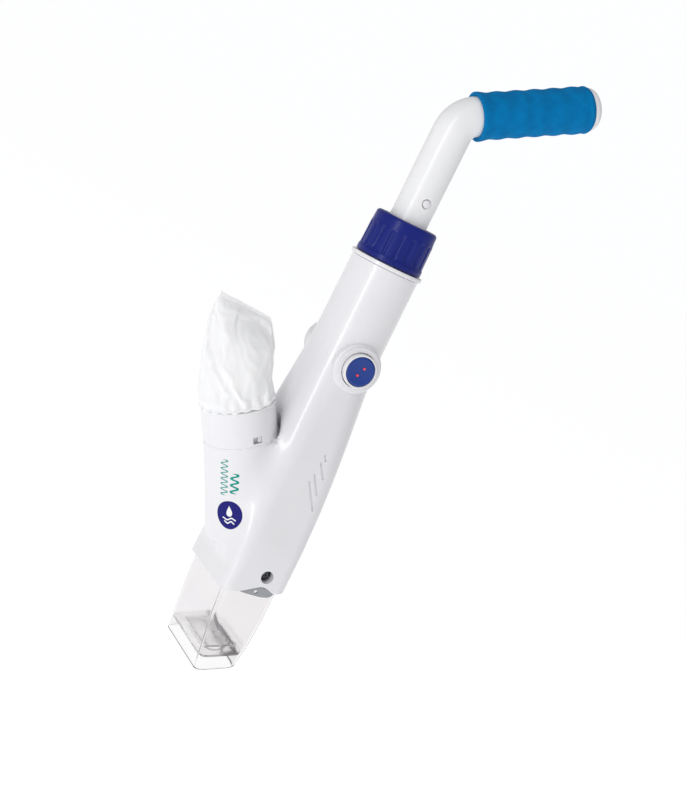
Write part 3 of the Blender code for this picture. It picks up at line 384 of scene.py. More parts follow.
def baked(obj):
    """Applies an object's modifiers and removes the helpers that they used."""
    graph = bpy.context.evaluated_depsgraph_get()
    mesh = bpy.data.meshes.new_from_object(obj.evaluated_get(graph))
    helpers = {m.object for m in obj.modifiers if m.type == "BOOLEAN"}
    obj.modifiers.clear()
    obj.data = mesh
    for helper in helpers:
        bpy.data.objects.remove(helper, do_unlink=True)
    return obj


def boolean(obj, operation, *others):
    """Cuts or joins closed meshes, which the MANIFOLD solver does quickly on dense ones."""
    for other in others:
        modifier = obj.modifiers.new(other.name, "BOOLEAN")
        modifier.operation = operation
        modifier.object = other
        modifier.solver = "MANIFOLD"
    return baked(obj)


def cut(obj, *others):
    return boolean(obj, "DIFFERENCE", *others)


def join(obj, *others):
    return boolean(obj, "UNION", *others)


def smoothed(obj, sharp=SHARP_EDGE):
    obj.data.shade_smooth()
    obj.data.set_sharp_from_angle(angle=math.radians(sharp))
    return obj


def shown(obj, body, slot, replaces, finish=None):
    """Puts a finished piece on its body, with its record slot and the CAD node it stands for."""
    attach(obj, body)
    obj.data.materials.clear()
    obj.data.materials.append(MATERIALS[finish or slot])
    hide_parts(replaces)


# ---------------------------------------------------------------- the housing's surface

GRID_STEP = 1.0
SMOOTHING = 21
SLANT_ROUNDS = 4


def smooth_table(rows):
    """A section table's columns at every millimetre, averaged so that no row shows as a crease."""
    heights = np.arange(rows[-1][0], rows[0][0] + GRID_STEP, GRID_STEP)
    table = np.array(rows[::-1], float)
    kernel = np.hanning(SMOOTHING + 2)[1:-1]
    kernel /= kernel.sum()
    pad = SMOOTHING // 2
    columns = []
    for column in range(1, table.shape[1]):
        values = np.interp(heights, table[:, 0], table[:, column])
        padded = np.concatenate([
            values[0] + (values[0] - values[pad:0:-1]), values,
            values[-1] + (values[-1] - values[-2:-pad - 2:-1]),
        ])
        columns.append(np.convolve(padded, kernel, "valid"))
    return heights, columns


HOUSING_TABLE = smooth_table(HOUSING_SECTIONS)
NOZZLE_TABLE = smooth_table(NOZZLE_SECTIONS)


def section(table, height):
    heights, columns = table
    return [np.interp(height, heights, column) for column in columns]


def body_distance(points):
    """Roughly how far points lie outside the housing's tapering body."""
    x, y, z = points.T
    left, right, half_y, corner = section(HOUSING_TABLE, z)
    across = np.abs(x - (left + right) / 2) - ((right - left) / 2 - corner)
    along = np.abs(y) - (half_y - corner)
    outside = np.hypot(np.maximum(across, 0), np.maximum(along, 0))
    return outside + np.minimum(np.maximum(across, along), 0) - corner


def branch_coordinates(points):
    """How far along the branch points lie, and how far from its axis."""
    local = points - np.array(BRANCH_ORIGIN)
    along = local @ np.array(BRANCH_AXIS)
    side = local @ np.array(BRANCH_SIDE)
    return along, np.hypot(side, points[:, 1])


def smooth_union(a, b, width):
    share = np.clip(0.5 + 0.5 * (b - a) / width, 0, 1)
    return b * (1 - share) + a * share - width * share * (1 - share)


def housing_distance(points):
    """The body and the branch run together, and the collar has a pocket in the body's side."""
    along, reach = branch_coordinates(points)
    stations, radii = np.array(NECK_RADII).T
    ends = np.maximum(NECK_START - along, along - NECK_END)
    neck = np.maximum(reach - np.interp(along, stations, radii), ends)
    joined = smooth_union(body_distance(points), neck, BLEND)
    pocket = np.maximum(reach - POCKET_RADIUS, NECK_END - along)
    return -smooth_union(-joined, pocket, POCKET_ROUNDING)


def settle(points, distance, level=0.0, rounds=6):
    """Moves points along the surface's slope until they lie at a level of a distance function."""
    step = 0.25
    for _ in range(rounds):
        value = distance(points) - level
        slope = np.stack([
            distance(points + offset) - distance(points - offset) for offset in np.eye(3) * step
        ], axis=1) / (2 * step)
        size = np.maximum((slope ** 2).sum(1), 0.05)
        move = np.clip(value / size, -3.0, 3.0)
        points = points - move[:, None] * slope
    return points


def section_loop(table, height, inset=0.0, slope=0.0, per_corner=16):
    """A loop of a section table, level or on a plane that rises towards +X."""
    points = []
    for quarter, (sx, sy) in enumerate(((1, 1), (-1, 1), (-1, -1), (1, -1))):
        for i in range(per_corner):
            angle = math.radians(90.0) * (quarter + (i + 0.5) / per_corner)
            x = 0.0
            for _ in range(SLANT_ROUNDS if slope else 1):
                left, right, half_y, corner = (float(v) for v in section(table, height + slope * x))
                centre_x = right - corner if sx > 0 else left + corner
                x = centre_x + (corner - inset) * math.cos(angle)
            y = sy * (half_y - corner) + (corner - inset) * math.sin(angle)
            points.append((x, y, height + slope * x))
    return points


def lofted(name, table, start, end, step, inset=0.0):
    count = max(2, round((start - end) / step) + 1)
    heights = [start + (end - start) * i / (count - 1) for i in range(count)]
    return skinned(name, [section_loop(table, height, inset) for height in heights])


def branch_cone(name, inset, start, end):
    outline = [(0.0, start), (NECK_RADII[0][1] - inset, start)]
    outline += [(radius - inset, along) for along, radius in NECK_RADII[1:-1]]
    outline += [(NECK_RADII[-1][1] - inset, end), (0.0, end)]
    return turned(name, outline, 64, BRANCH_ORIGIN, ALONG_BRANCH, radius=0.0)


def blended_housing():
    """The housing's outer shape in one smooth mesh, with the branch running out of the body."""
    body = lofted("body", HOUSING_TABLE, -24.0, -345.0, 8.0)
    body = cut(body, rod("pocket", POCKET_RADIUS, NECK_END, 190.0, BRANCH_ORIGIN, ALONG_BRANCH))
    body = join(body, branch_cone("branch", 0.0, NECK_START, NECK_END + 1.5))
    remesh = body.modifiers.new("voxels", "REMESH")
    remesh.mode = "VOXEL"
    remesh.voxel_size = VOXEL * MM
    baked(body)
    points = np.empty(len(body.data.vertices) * 3)
    body.data.vertices.foreach_get("co", points)
    points = points.reshape(-1, 3) / MM
    along, reach = branch_coordinates(points)
    inner_z = (points[:, 2] < -30.0) & (points[:, 2] > -338.0)
    tip = (along > NECK_END - 1.0) & (reach < POCKET_RADIUS + 0.5) & (body_distance(points) > -6.0)
    moving = inner_z & ~tip
    points[moving] = settle(points[moving], housing_distance)
    body.data.vertices.foreach_set("co", (points * MM).ravel())
    body.data.update()
    return body


# ---------------------------------------------------------------- housing

REAR_SCREWS = (
    (-21.8, -103.0, 12.8), (21.8, -103.0, 12.8), (25.2, -216.0, 30.4), (18.0, -290.0, 42.4),
)
FRONT_SCREW = (6.8, -300.4)
GROOVES = ((4.8, -216.5, 25.5), (6.5, -209.8, 18.4), (7.7, -199.5, 14.7), (8.3, -192.7, 6.0))
GROOVE_LEAN = math.radians(32.5)
GROOVE_WIDTH = 1.7
GROOVE_DEPTH = 1.1
NOTCH_ARCH = (
    (-10.9, -318.4), (-6.5, -316.0), (-2.5, -313.6), (1.5, -311.2), (4.5, -309.7), (7.5, -308.9),
    (10.5, -308.9), (13.5, -309.5), (16.8, -310.6), (19.9, -311.0),
)
NOTCH_FOOT = -335.0
SPLIT_GAP = 0.06
SPLIT_REACH = 200.0
POST_RADIUS = 3.6
LOWER_POST_RADIUS = 6.9
SHAFT_RADIUS = 1.9
HEAD_HOLE_RADIUS = 3.4
RECESS_RADIUS = 5.3
SEAT_RADIUS = 14.6
STEM_HOLE_RADIUS = 3.6
SOCKET_HOLE_RADIUS = 6.3


def below_plane(name, middle_z, slope, depth=60.0, reach=80.0):
    left = middle_z - slope * reach
    right = middle_z + slope * reach
    outline = ((-reach, left), (reach, right), (reach, left - depth), (-reach, left - depth))
    return extruded(name, outline, -reach, reach, turn=TO_FRONT)


def housing_solid():
    """The whole housing, hollowed, before it is split into its two shells."""
    body = blended_housing()
    outline = (
        (0, BOSS_START), (20.4, BOSS_START), (20.4, 30.4), (19.4, 31.4), (18.4, 31.6),
        (18.4, BOSS_TOP), (0, BOSS_TOP),
    )
    button_boss = turned("button_boss", outline, 96, BUTTON_PLACE, TO_FRONT, radius=0.6)
    reach = CHARGE_RADIUS
    outline = ((0, BOSS_START), (reach, BOSS_START), (reach, CHARGE_TOP), (0, CHARGE_TOP))
    charge_boss = turned("charge_boss", outline, 96, CHARGE_PLACE, TO_BACK, radius=0.5)
    join(body, button_boss, charge_boss)

    dry = lofted("dry", HOUSING_TABLE, -39.0, BULKHEAD_Z + 2.6, 8.0, WALL)
    pocket_wall = rod(
        "pocket_wall", POCKET_RADIUS + WALL, NECK_END - WALL, 200.0, BRANCH_ORIGIN, ALONG_BRANCH
    )
    cut(dry, pocket_wall, branch_cone("neck_wall", 0.0, NECK_START, NECK_END + 0.2))
    wet = lofted("wet", HOUSING_TABLE, BULKHEAD_Z + 3.0, -331.0, 8.0, WALL)
    neck_hollow = branch_cone("neck_hollow", 2.9, NECK_START + 1.0, NECK_END + 2.2)
    lid = block("top_cut", (-60, -60, HOUSING_TOP), (60, 60, 0))
    edge = below_plane("edge_cut", EDGE_Z, EDGE_SLOPE)
    return cut(body, dry, wet, neck_hollow, lid, edge)


def shell_of(whole, name, keep_front):
    """One half of the housing with its screw posts and openings."""
    obj = bpy.data.objects.new(name, whole.data.copy())
    bpy.context.scene.collection.objects.link(obj)
    facing = TO_FRONT if keep_front else TO_BACK
    posts = [
        rod(f"{name}_post_{i}", POST_RADIUS, 0.3, end, (x, 0, z), facing, 32)
        for i, (x, z, end) in enumerate(REAR_SCREWS)
    ]
    x, z = FRONT_SCREW
    end = float(section(HOUSING_TABLE, z)[2]) - WALL + 1.0
    posts.append(rod(name + "_lower_post", LOWER_POST_RADIUS, 0.3, end, (x, 0, z), facing, 48))
    join(obj, *posts)
    near, far = (-SPLIT_GAP, SPLIT_REACH) if keep_front else (-SPLIT_REACH, SPLIT_GAP)
    away = block(name + "_split", (-SPLIT_REACH, near, -400), (SPLIT_REACH, far, 20))
    openings = front_openings(name) if keep_front else rear_openings(name)
    cut(obj, away, *openings)
    return smoothed(obj)


def front_openings(name):
    cutters = [
        rod(name + "_seat", SEAT_RADIUS, 28.6, 50.0, BUTTON_PLACE, TO_FRONT, 96),
        rod(name + "_stem_hole", STEM_HOLE_RADIUS, 5.0, 40.0, BUTTON_PLACE, TO_FRONT, 32),
    ]
    core = lofted("groove_core", HOUSING_TABLE, -180.0, -260.0, 4.0, GROOVE_DEPTH)
    grooves = [grip_groove(f"groove_{i}", x, z, length) for i, (x, z, length) in enumerate(GROOVES)]
    cutters.append(cut(join(*grooves), core))
    for i, (x, z, _) in enumerate(REAR_SCREWS):
        cutters.append(rod(f"{name}_pilot_{i}", SHAFT_RADIUS, -1.0, 11.5, (x, 0, z), TO_FRONT, 24))
    x, z = FRONT_SCREW
    cutters.append(rod(name + "_recess", RECESS_RADIUS, 36.0, 60.0, (x, 0, z), TO_FRONT, 64))
    cutters.append(rod(name + "_shaft", SHAFT_RADIUS, -1.0, 60.0, (x, 0, z), TO_FRONT, 24))
    left, right = NOTCH_ARCH[0][0], NOTCH_ARCH[-1][0]
    arch = [*NOTCH_ARCH, (right, NOTCH_FOOT), (left, NOTCH_FOOT)]
    cutters.append(extruded(name + "_notch", arch, 36.0, 60.0, turn=TO_FRONT))
    return cutters


def grip_groove(name, x, z, length):
    """A narrow block with round ends, drawn from its upper end and leaning like its neighbours."""
    half = GROOVE_WIDTH / 2
    outline = []
    for centre, start in ((-half, 0.0), (half - length, math.pi)):
        for i in range(9):
            angle = start + math.pi * i / 8
            outline.append((half * math.cos(angle), centre + half * math.sin(angle)))
    lean = (Euler((0.0, -GROOVE_LEAN, 0.0)).to_matrix() @ TO_FRONT.to_matrix()).to_euler()
    return extruded(name, outline, 20.0, 60.0, (x, 0, z), lean)


def rear_openings(name):
    cutters = [rod(name + "_socket", SOCKET_HOLE_RADIUS, 5.0, 60.0, CHARGE_PLACE, TO_BACK, 64)]
    for i, (x, z, _) in enumerate(REAR_SCREWS):
        at = (x, 0, z)
        cutters.append(rod(f"{name}_head_{i}", HEAD_HOLE_RADIUS, 12.0, 60.0, at, TO_BACK, 48))
        cutters.append(rod(f"{name}_shaft_{i}", SHAFT_RADIUS, -1.0, 60.0, at, TO_BACK, 24))
    x, z = FRONT_SCREW
    cutters.append(rod(name + "_lower_pilot", SHAFT_RADIUS, -1.0, 14.0, (x, 0, z), TO_BACK, 24))
    return cutters


def screw(name, x, z, head_at, length, turn, head_radius=3.0):
    """A pan-head screw with a cross recess."""
    tip, top = head_at - length, head_at + 2.1
    outline = (
        (0, tip), (0.9, tip), (1.5, tip + 1.2), (1.5, head_at), (head_radius, head_at),
        (head_radius, head_at + 1.2), (head_radius * 0.7, top), (0, top),
    )
    obj = turned(name, outline, 48, (x, 0, z), turn, radius=0.35)
    arms = []
    low, high = (-1.9, -0.38, head_at + 0.7), (1.9, 0.38, head_at + 4)
    for i, spin in enumerate((0.5, 0.5 + math.pi / 2)):
        around = (turn.to_matrix() @ Euler((0, 0, spin)).to_matrix()).to_euler()
        arms.append(block(f"{name}_arm_{i}", low, high, (x, 0, z), around))
    cut(obj, join(*arms))
    return smoothed(obj)


def make_housing():
    whole = housing_solid()
    front = shell_of(whole, "front_shell", True)
    rear = shell_of(whole, "rear_shell", False)
    bpy.data.objects.remove(whole, do_unlink=True)
    shown(front, "housing", "white_plastic", "housing_front")
    shown(rear, "housing", "white_plastic", "housing_rear")
    for i, (x, z, _) in enumerate(REAR_SCREWS, 1):
        rear_screw = screw(f"rear_screw_{i}", x, z, 12.3, 23.0, TO_BACK)
        shown(rear_screw, "housing", "steel", f"case_screw_{i}")
    lower = screw("front_screw", *FRONT_SCREW, 37.9, 47.6, TO_FRONT, 3.5)
    shown(lower, "housing", "steel", "case_screw_lower", finish="dark_steel")


# ---------------------------------------------------------------- socket, lock collar and handle

SOCKET_BORE = TUBE_RADIUS + 0.5
COLLAR_RIBS = 18


def make_pole_socket():
    outline = (
        (SOCKET_BORE, -92.6), (SOCKET_BORE, -30.0), (21.0, -27.0), (21.0, -4.2), (22.6, -4.2),
        (22.6, -36.6), (30.5, -36.6), (30.6, -39.9), (25.7, -39.9), (25.7, -44.0), (19.4, -46.0),
        (19.4, -96.0), (13.0, -96.0), (13.0, -92.6),
    )
    flange = turned("socket_flange", outline, 128, radius=0.7)
    shown(flange, "housing", "white_plastic", "pole_socket")


def make_lock_collar():
    """A skirt, a band of grip ribs that fade out at both ends, and a rounded upper lip."""
    profile = rounded(
        ((28.1, -36.0), (28.0, -31.6), (27.3, -30.2), (26.9, -11.0), (26.6, -8.8), (26.2, -1.6),
         (24.6, 0.0), (17.0, 0.0), (17.0, -3.6), (23.1, -3.6), (23.1, -36.0)),
        1.1, True, 5,
    )
    profile = finer(profile, 1.6)
    steps = COLLAR_RIBS * 14
    loops = []
    for radius, height in profile:
        band = min(1.0, max(0.0, min(height + 31.0, -9.4 - height) / 2.2)) if radius > 24.0 else 0.0
        depth = 0.95 * band * band * (3 - 2 * band)
        loop = []
        for i in range(steps):
            angle = math.tau * i / steps
            wave = 0.5 - 0.5 * math.cos(angle * COLLAR_RIBS)
            groove = depth * max(0.0, (wave - 0.62) / 0.38) ** 0.8
            reach = radius - groove
            loop.append((reach * math.cos(angle), reach * math.sin(angle), height))
        loops.append(loop)
    collar = skinned("grip_collar", loops, closed=True)
    shown(collar, "lock_ring", "navy_plastic", "lock_collar")


def finer(outline, step):
    """Adds points to a closed outline so that none of its sides is longer than a step."""
    points = []
    for here, there in zip(outline, outline[1:] + outline[:1]):
        pieces = max(1, math.ceil(math.dist(here, there) / step))
        for k in range(pieces):
            t = k / pieces
            points.append((here[0] + (there[0] - here[0]) * t, here[1] + (there[1] - here[1]) * t))
    return points


def handle_loops(radius, end, steps=72):
    """Loops of one radius along the tube: straight up, round the elbow, and out along the grip."""
    tangent = ELBOW_RADIUS * math.tan(HANDLE_ANGLE / 2)
    rise = ELBOW_Z - tangent - TUBE_FOOT
    centres = [(0.0, TUBE_FOOT + i * rise / 6, 0.0) for i in range(7)]
    bend_steps = 20
    for i in range(1, bend_steps + 1):
        lean = HANDLE_ANGLE * i / bend_steps
        x = ELBOW_RADIUS * (1 - math.cos(lean))
        centres.append((x, ELBOW_Z - tangent + ELBOW_RADIUS * math.sin(lean), lean))
    tip_x, tip_z = end * math.sin(HANDLE_ANGLE), ELBOW_Z + end * math.cos(HANDLE_ANGLE)
    centres.append((tip_x, tip_z, HANDLE_ANGLE))
    loops = []
    for x, z, lean in centres:
        loop = []
        for i in range(steps):
            angle = math.tau * i / steps
            px, py = radius * math.cos(angle), radius * math.sin(angle)
            loop.append((x + px * math.cos(lean), py, z - px * math.sin(lean)))
        loops.append(loop)
    return loops


def make_handle():
    grip_end = GRIP_START + GRIP_LENGTH
    outer = handle_loops(TUBE_RADIUS, grip_end - 0.6)
    inner = handle_loops(TUBE_RADIUS - TUBE_WALL, grip_end - 0.6)
    tube = skinned("bent_tube", outer + inner[::-1], closed=True)
    hole = turned(
        "clip_hole",
        ((0, 2), (3.5, 2), (3.5, TUBE_RADIUS - 0.9), (4.3, TUBE_RADIUS + 0.2), (4.3, 30), (0, 30)),
        48, (0, 0, CLIP_HOLE_Z), TO_FRONT, radius=0.0,
    )
    cut(tube, hole)
    shown(smoothed(tube), "handle", "white_tube", "handle_tube")

    bore = TUBE_RADIUS + 0.2
    outline = [(bore, GRIP_START), (19.0, GRIP_START - 0.2), (19.75, GRIP_START + 0.5)]
    first, last = GRIP_START + 2.2, grip_end - 5.0
    for i in range(89):
        share = i / 88
        flare = 0.55 * math.exp(-share * 16)
        swell = 0.35 * math.exp(-(1 - share) * 9)
        ridge = RIDGE_HEIGHT * math.cos(math.tau * GRIP_RIDGES * share)
        radius = GRIP_RADIUS + ridge + flare + swell
        outline.append((radius, first + (last - first) * share))
    outline += [(19.3, grip_end - 3.0), (18.2, grip_end - 0.5), (17.2, grip_end), (bore, grip_end)]
    grip = turned("foam_sleeve", outline, 128, (0, 0, ELBOW_Z), ALONG_HANDLE, radius=0.8)
    shown(grip, "handle", "blue_foam", "handle_grip")

    plug = TUBE_RADIUS - TUBE_WALL - 0.3
    dome = [
        (PLUG_RADIUS * math.cos(a), grip_end + 1.6 + 8.6 * math.sin(a))
        for a in (math.radians(9.0 * i) for i in range(10))
    ]
    outline = [(0, grip_end - 12.0), (plug, grip_end - 12.0), (plug, grip_end + 0.3),
               (PLUG_RADIUS, grip_end + 0.3), *dome, (0, grip_end + 10.2)]
    cap = turned("end_plug", outline, 96, (0, 0, ELBOW_Z), ALONG_HANDLE, radius=0.4)
    shown(cap, "handle", "white_plastic", "grip_end_cap")


# ---------------------------------------------------------------- power button and charging port


def make_button():
    bezel = (
        (13.3, 28.9), (14.0, 28.9), (14.0, 37.7), (13.4, 38.5), (12.5, 38.5), (12.3, 38.1),
        (12.3, 34.4), (13.3, 33.4),
    )
    ring = turned("button_ring", bezel, 96, BUTTON_PLACE, TO_FRONT, radius=0.35)
    shown(ring, "housing", "white_plastic", "button_bezel")
    face = BUTTON_FACE
    outline = [(0, 19.0), (3.1, 19.0), (3.1, 32.0), (12.9, 32.0), (12.9, 33.2), (12.0, 33.2),
               (12.0, face - 0.9), (11.0, face - 0.25)]
    for reach in (DISH_RADIUS, 8.0, 5.0, 2.5):
        outline.append((reach, face - 0.25 - 0.55 * (1 - (reach / DISH_RADIUS) ** 2)))
    outline.append((0, face - 0.8))
    cap = turned("button_cap", outline, 96, BUTTON_PLACE, TO_FRONT, radius=0.4)
    lens_holes = []
    for i, offset in enumerate((-3.4, 3.4)):
        place = (BUTTON_PLACE[0] + offset * 0.45, 0, BUTTON_PLACE[2] + offset)
        lens_holes.append(rod(f"lens_hole_{i}", 1.15, face - 1.6, face + 5, place, TO_FRONT, 32))
    cut(cap, *lens_holes)
    shown(smoothed(cap), "button", "blue_plastic", "power_button")


def make_charge_cap():
    top = CHARGE_TOP
    outline = (
        (0, top - 1.6), (4.0, top - 1.6), (4.0, top + 0.3), (17.6, top + 0.3),
        (CHARGE_RADIUS, top + 0.8), (CHARGE_RADIUS, top + 2.0), (17.3, top + 2.8), (0, top + 2.9),
    )
    cap = turned("port_cover", outline, 96, CHARGE_PLACE, TO_BACK, radius=0.3)
    shown(cap, "port_cap", "white_plastic", "charge_cap")


# ---------------------------------------------------------------- branch, collar and filter bag

WINDOW_ANGLE = math.radians(-79.5)
WINDOW_HALF_WIDTH = 3.9
WINDOW_LOW = 85.2
WINDOW_HIGH = 90.6
BAG_SECTIONS = (
    (112.6, 0.0, 26.6, 26.6),
    (118.0, 0.2, 30.2, 29.6),
    (128.4, 1.7, 30.0, 30.0),
    (140.7, 4.1, 29.7, 29.4),
    (151.8, 5.8, 29.6, 27.6),
    (163.9, 7.1, 29.4, 24.0),
    (174.9, 7.8, 27.6, 18.0),
    (182.0, 10.0, 23.4, 9.6),
    (188.5, 12.8, 19.1, 3.6),
)
# The cloth comes up inside the collar and lies out over its top edge: distance and radius.
BAG_RIM = ((112.4, 25.2), (112.9, 28.4), (113.8, 29.9), (116.0, 30.3))
BAG_SLANT = 0.7
BAG_SLANT_START = 140.0
BAG_TOP = BAG_SECTIONS[-1][0]
SEAM_START = 183.6
BAG_STEPS = 112
FOLDS = 19
FOLD_HEIGHT = 0.75
GATHER_AT = 114.5
GATHER_SPREAD = 11.0
SEAM_HALF_THICKNESS = 0.45
SEAM_CLOSING = 4.0
HELD_RIM_ROWS = 4
HELD_SEAM_ROWS = 7
CLOTH_THICKNESS = 0.4
CLOTH_FRAMES = 18
CLOTH_CAP = 4.0


def make_bag_collar():
    start, top = COLLAR_START, COLLAR_START + COLLAR_LENGTH
    outer, inner, mouth = COLLAR_RADIUS, COLLAR_RADIUS - 2.2, 25.6
    outline = (
        (inner, start), (outer - 1.0, start), (outer, start + 1.1), (outer, top - 3.2),
        (outer + 0.7, top - 2.1), (outer + 0.7, top - 0.5), (outer - 0.6, top), (mouth, top),
        (mouth, top - 4.2), (inner, top - 4.2),
    )
    obj = turned("bag_ring", outline, 144, BRANCH_ORIGIN, ALONG_BRANCH, radius=0.5)
    turn = (ALONG_BRANCH.to_matrix() @ Euler((0, 0, WINDOW_ANGLE)).to_matrix()).to_euler()
    half = WINDOW_HALF_WIDTH
    cutters = [
        block(name, (20.0, -half, low), (reach, half, WINDOW_HIGH), BRANCH_ORIGIN, turn)
        for name, low, reach in (("window", WINDOW_LOW, 40.0), ("groove", 60.0, 29.1))
    ]
    cut(obj, *cutters)
    shown(smoothed(obj), "bag", "white_plastic", "bag_collar")


def bag_rows():
    """Distances along the branch of the sack's rows, closest at the gathered rim and the seam."""
    rim = [109.6, 110.8, 112.0, 112.5, 112.9, 113.4, 114.2, 115.4, 116.8, 118.0]
    middle = [rim[-1] + (SEAM_START - rim[-1]) * i / 44 for i in range(1, 45)]
    seam = [SEAM_START + step for step in (0.9, 1.8, 2.6, 3.4, 4.0, 4.6, 5.6, 6.6)]
    return rim + middle + seam


def bag_point(table, along, angle):
    """A point of the sack's skin in the branch's own coordinates."""
    shift, half_x, half_y = (float(value) for value in section(table, along))
    if along < BAG_RIM[-1][0]:
        half_x = half_y = float(np.interp(along, *zip(*BAG_RIM)))
    if along > SEAM_START:
        closing = min(1.0, (along - SEAM_START) / SEAM_CLOSING)
        half_y = half_y * (1 - closing) + SEAM_HALF_THICKNESS * closing
    tilt = BAG_SLANT * max(0.0, (along - BAG_SLANT_START) / (BAG_TOP - BAG_SLANT_START))
    gather = math.exp(-((along - GATHER_AT) / GATHER_SPREAD) ** 2)
    folds = math.sin(FOLDS * angle + 1.3 * math.sin(3 * angle)) * FOLD_HEIGHT * gather
    loose = max(0.0, min(1.0, (along - 114.0) / 14.0, (SEAM_START + 2.0 - along) / 10.0))
    place = Vector((math.cos(angle) * 1.3, math.sin(angle) * 1.3, along * 0.028))
    creases = noise.noise(place * 1.9 + Vector((3.1, 0.0, 0.0)))
    ridges = 1.0 - abs(noise.noise(place * 2.7 + Vector((0.0, 7.7, 0.0)))) * 2.0
    swell = loose * (1.6 * creases + 0.9 * max(0.0, ridges) - 0.4)
    kink = 0.9 * noise.noise(Vector((math.cos(angle) * 2.2, 0.0, 5.0))) if along > 180.0 else 0.0
    across = (half_x + folds + swell) * math.cos(angle)
    y = (half_y + folds + swell * min(1.0, half_y / 12.0)) * math.sin(angle)
    return (shift + across, y, along - tilt * across + kink)


def settle_cloth(obj, pinned):
    """Lets the sack's cloth relax for a few frames and keeps the shape that it takes."""
    before = np.empty(len(obj.data.vertices) * 3)
    obj.data.vertices.foreach_get("co", before)
    group = obj.vertex_groups.new(name="held")
    group.add(pinned, 1.0, "REPLACE")
    cloth = obj.modifiers.new("cloth", "CLOTH")
    settings = cloth.settings
    settings.quality = 5
    settings.mass = 0.05
    settings.air_damping = 4.0
    settings.tension_stiffness = 20.0
    settings.compression_stiffness = 20.0
    settings.shear_stiffness = 8.0
    settings.bending_stiffness = 0.02
    settings.vertex_group_mass = "held"
    settings.shrink_min = -0.035
    settings.use_pressure = True
    settings.uniform_pressure_force = 0.25
    settings.effector_weights.gravity = 0.4
    cloth.point_cache.frame_start = 1
    cloth.point_cache.frame_end = CLOTH_FRAMES
    scene = bpy.context.scene
    for step in range(1, CLOTH_FRAMES + 1):
        scene.frame_set(step)
    graph = bpy.context.evaluated_depsgraph_get()
    relaxed = obj.evaluated_get(graph).to_mesh()
    after = np.empty(len(relaxed.vertices) * 3)
    relaxed.vertices.foreach_get("co", after)
    obj.modifiers.remove(cloth)
    obj.vertex_groups.remove(group)
    scene.frame_set(1)
    move = (after - before).reshape(-1, 3)
    length = np.linalg.norm(move, axis=1, keepdims=True)
    move *= np.minimum(1.0, CLOTH_CAP * MM / np.maximum(length, 1e-9))
    obj.data.vertices.foreach_set("co", (before.reshape(-1, 3) + move).ravel())
    obj.data.update()


def make_filter_bag():
    table = smooth_table(BAG_SECTIONS[::-1])
    rows = bag_rows()
    angles = [math.tau * i / BAG_STEPS for i in range(BAG_STEPS)]
    bm = bmesh.new()
    rings = [[bm.verts.new(bag_point(table, along, angle)) for angle in angles] for along in rows]
    add_bands(bm, rings)
    top = rings[-1]
    for i in range(BAG_STEPS // 2):
        # The sewn edge: the front row of points meets the rear row, and the ends close to a point.
        corners = dict.fromkeys((top[i], top[i + 1], top[-i - 1], top[-i]))
        bm.faces.new(tuple(corners))
    obj = add_object(bm, "cloth_sack", None, BRANCH_ORIGIN, ALONG_BRANCH)
    count = BAG_STEPS * len(rows)
    rim = list(range(BAG_STEPS * HELD_RIM_ROWS))
    seam = list(range(count - BAG_STEPS * HELD_SEAM_ROWS, count))
    settle_cloth(obj, rim + seam)
    thick = obj.modifiers.new("thickness", "SOLIDIFY")
    thick.thickness = CLOTH_THICKNESS * MM
    thick.offset = 0.0
    fine = obj.modifiers.new("smooth", "SUBSURF")
    fine.levels = 1
    fine.render_levels = 1
    baked(obj)
    shown(smoothed(obj, 80.0), "bag", "filter_fabric", "filter_bag")


# ---------------------------------------------------------------- nozzle and inlet plate

PLATE_LIFT = 11.0
PLATE_THICKNESS = 2.0
PLATE_X = 2.3
PORT_HALF = (6.4, 26.0)
HINGE_AT = (11.6, 2.7)
MOUTH_TURN = Euler((0.0, -math.atan(MOUTH_SLOPE), 0.0))
PLATE_AT = (PLATE_X, 0.0, MOUTH_Z + PLATE_LIFT + PLATE_THICKNESS + MOUTH_SLOPE * PLATE_X)


def nozzle_loop(height, slope, inset):
    return section_loop(NOZZLE_TABLE, height, inset, slope, per_corner=20)


def nozzle_rows():
    """Height, slope and inset of each loop: down the outside, round the rim and up the inside."""
    walls = []
    for i in range(13):
        share = i / 12
        walls.append((NOZZLE_TOP + (MOUTH_Z + 1.2 - NOZZLE_TOP) * share, MOUTH_SLOPE * share))
    rim = []
    for angle in (20.0, 45.0, 70.0, 90.0, 110.0, 135.0, 160.0):
        spin = math.radians(angle)
        rim.append((MOUTH_Z + 1.0 - 1.0 * math.sin(spin), MOUTH_SLOPE, 1.0 - math.cos(spin)))
    outside = [(*wall, 0.0) for wall in walls]
    inside = [(*wall, NOZZLE_WALL) for wall in reversed(walls)]
    return outside + rim + inside


def make_nozzle():
    loops = [nozzle_loop(*row) for row in nozzle_rows()]
    obj = skinned("clear_nozzle", loops, closed=True)
    x, z = FRONT_SCREW
    cut(obj, rod("post_slot", 7.4, -60.0, 60.0, (x, 0, z), TO_FRONT, 48))
    shown(smoothed(obj), "nozzle_unit", "clear_plastic", "nozzle")


def stadium(half_x, half_y, per_end=16):
    points = []
    for end in (1, -1):
        for i in range(per_end + 1):
            angle = math.pi * i / per_end + (0.0 if end > 0 else math.pi)
            y = end * (half_y - half_x) + half_x * math.sin(angle)
            points.append((half_x * math.cos(angle), y))
    return points


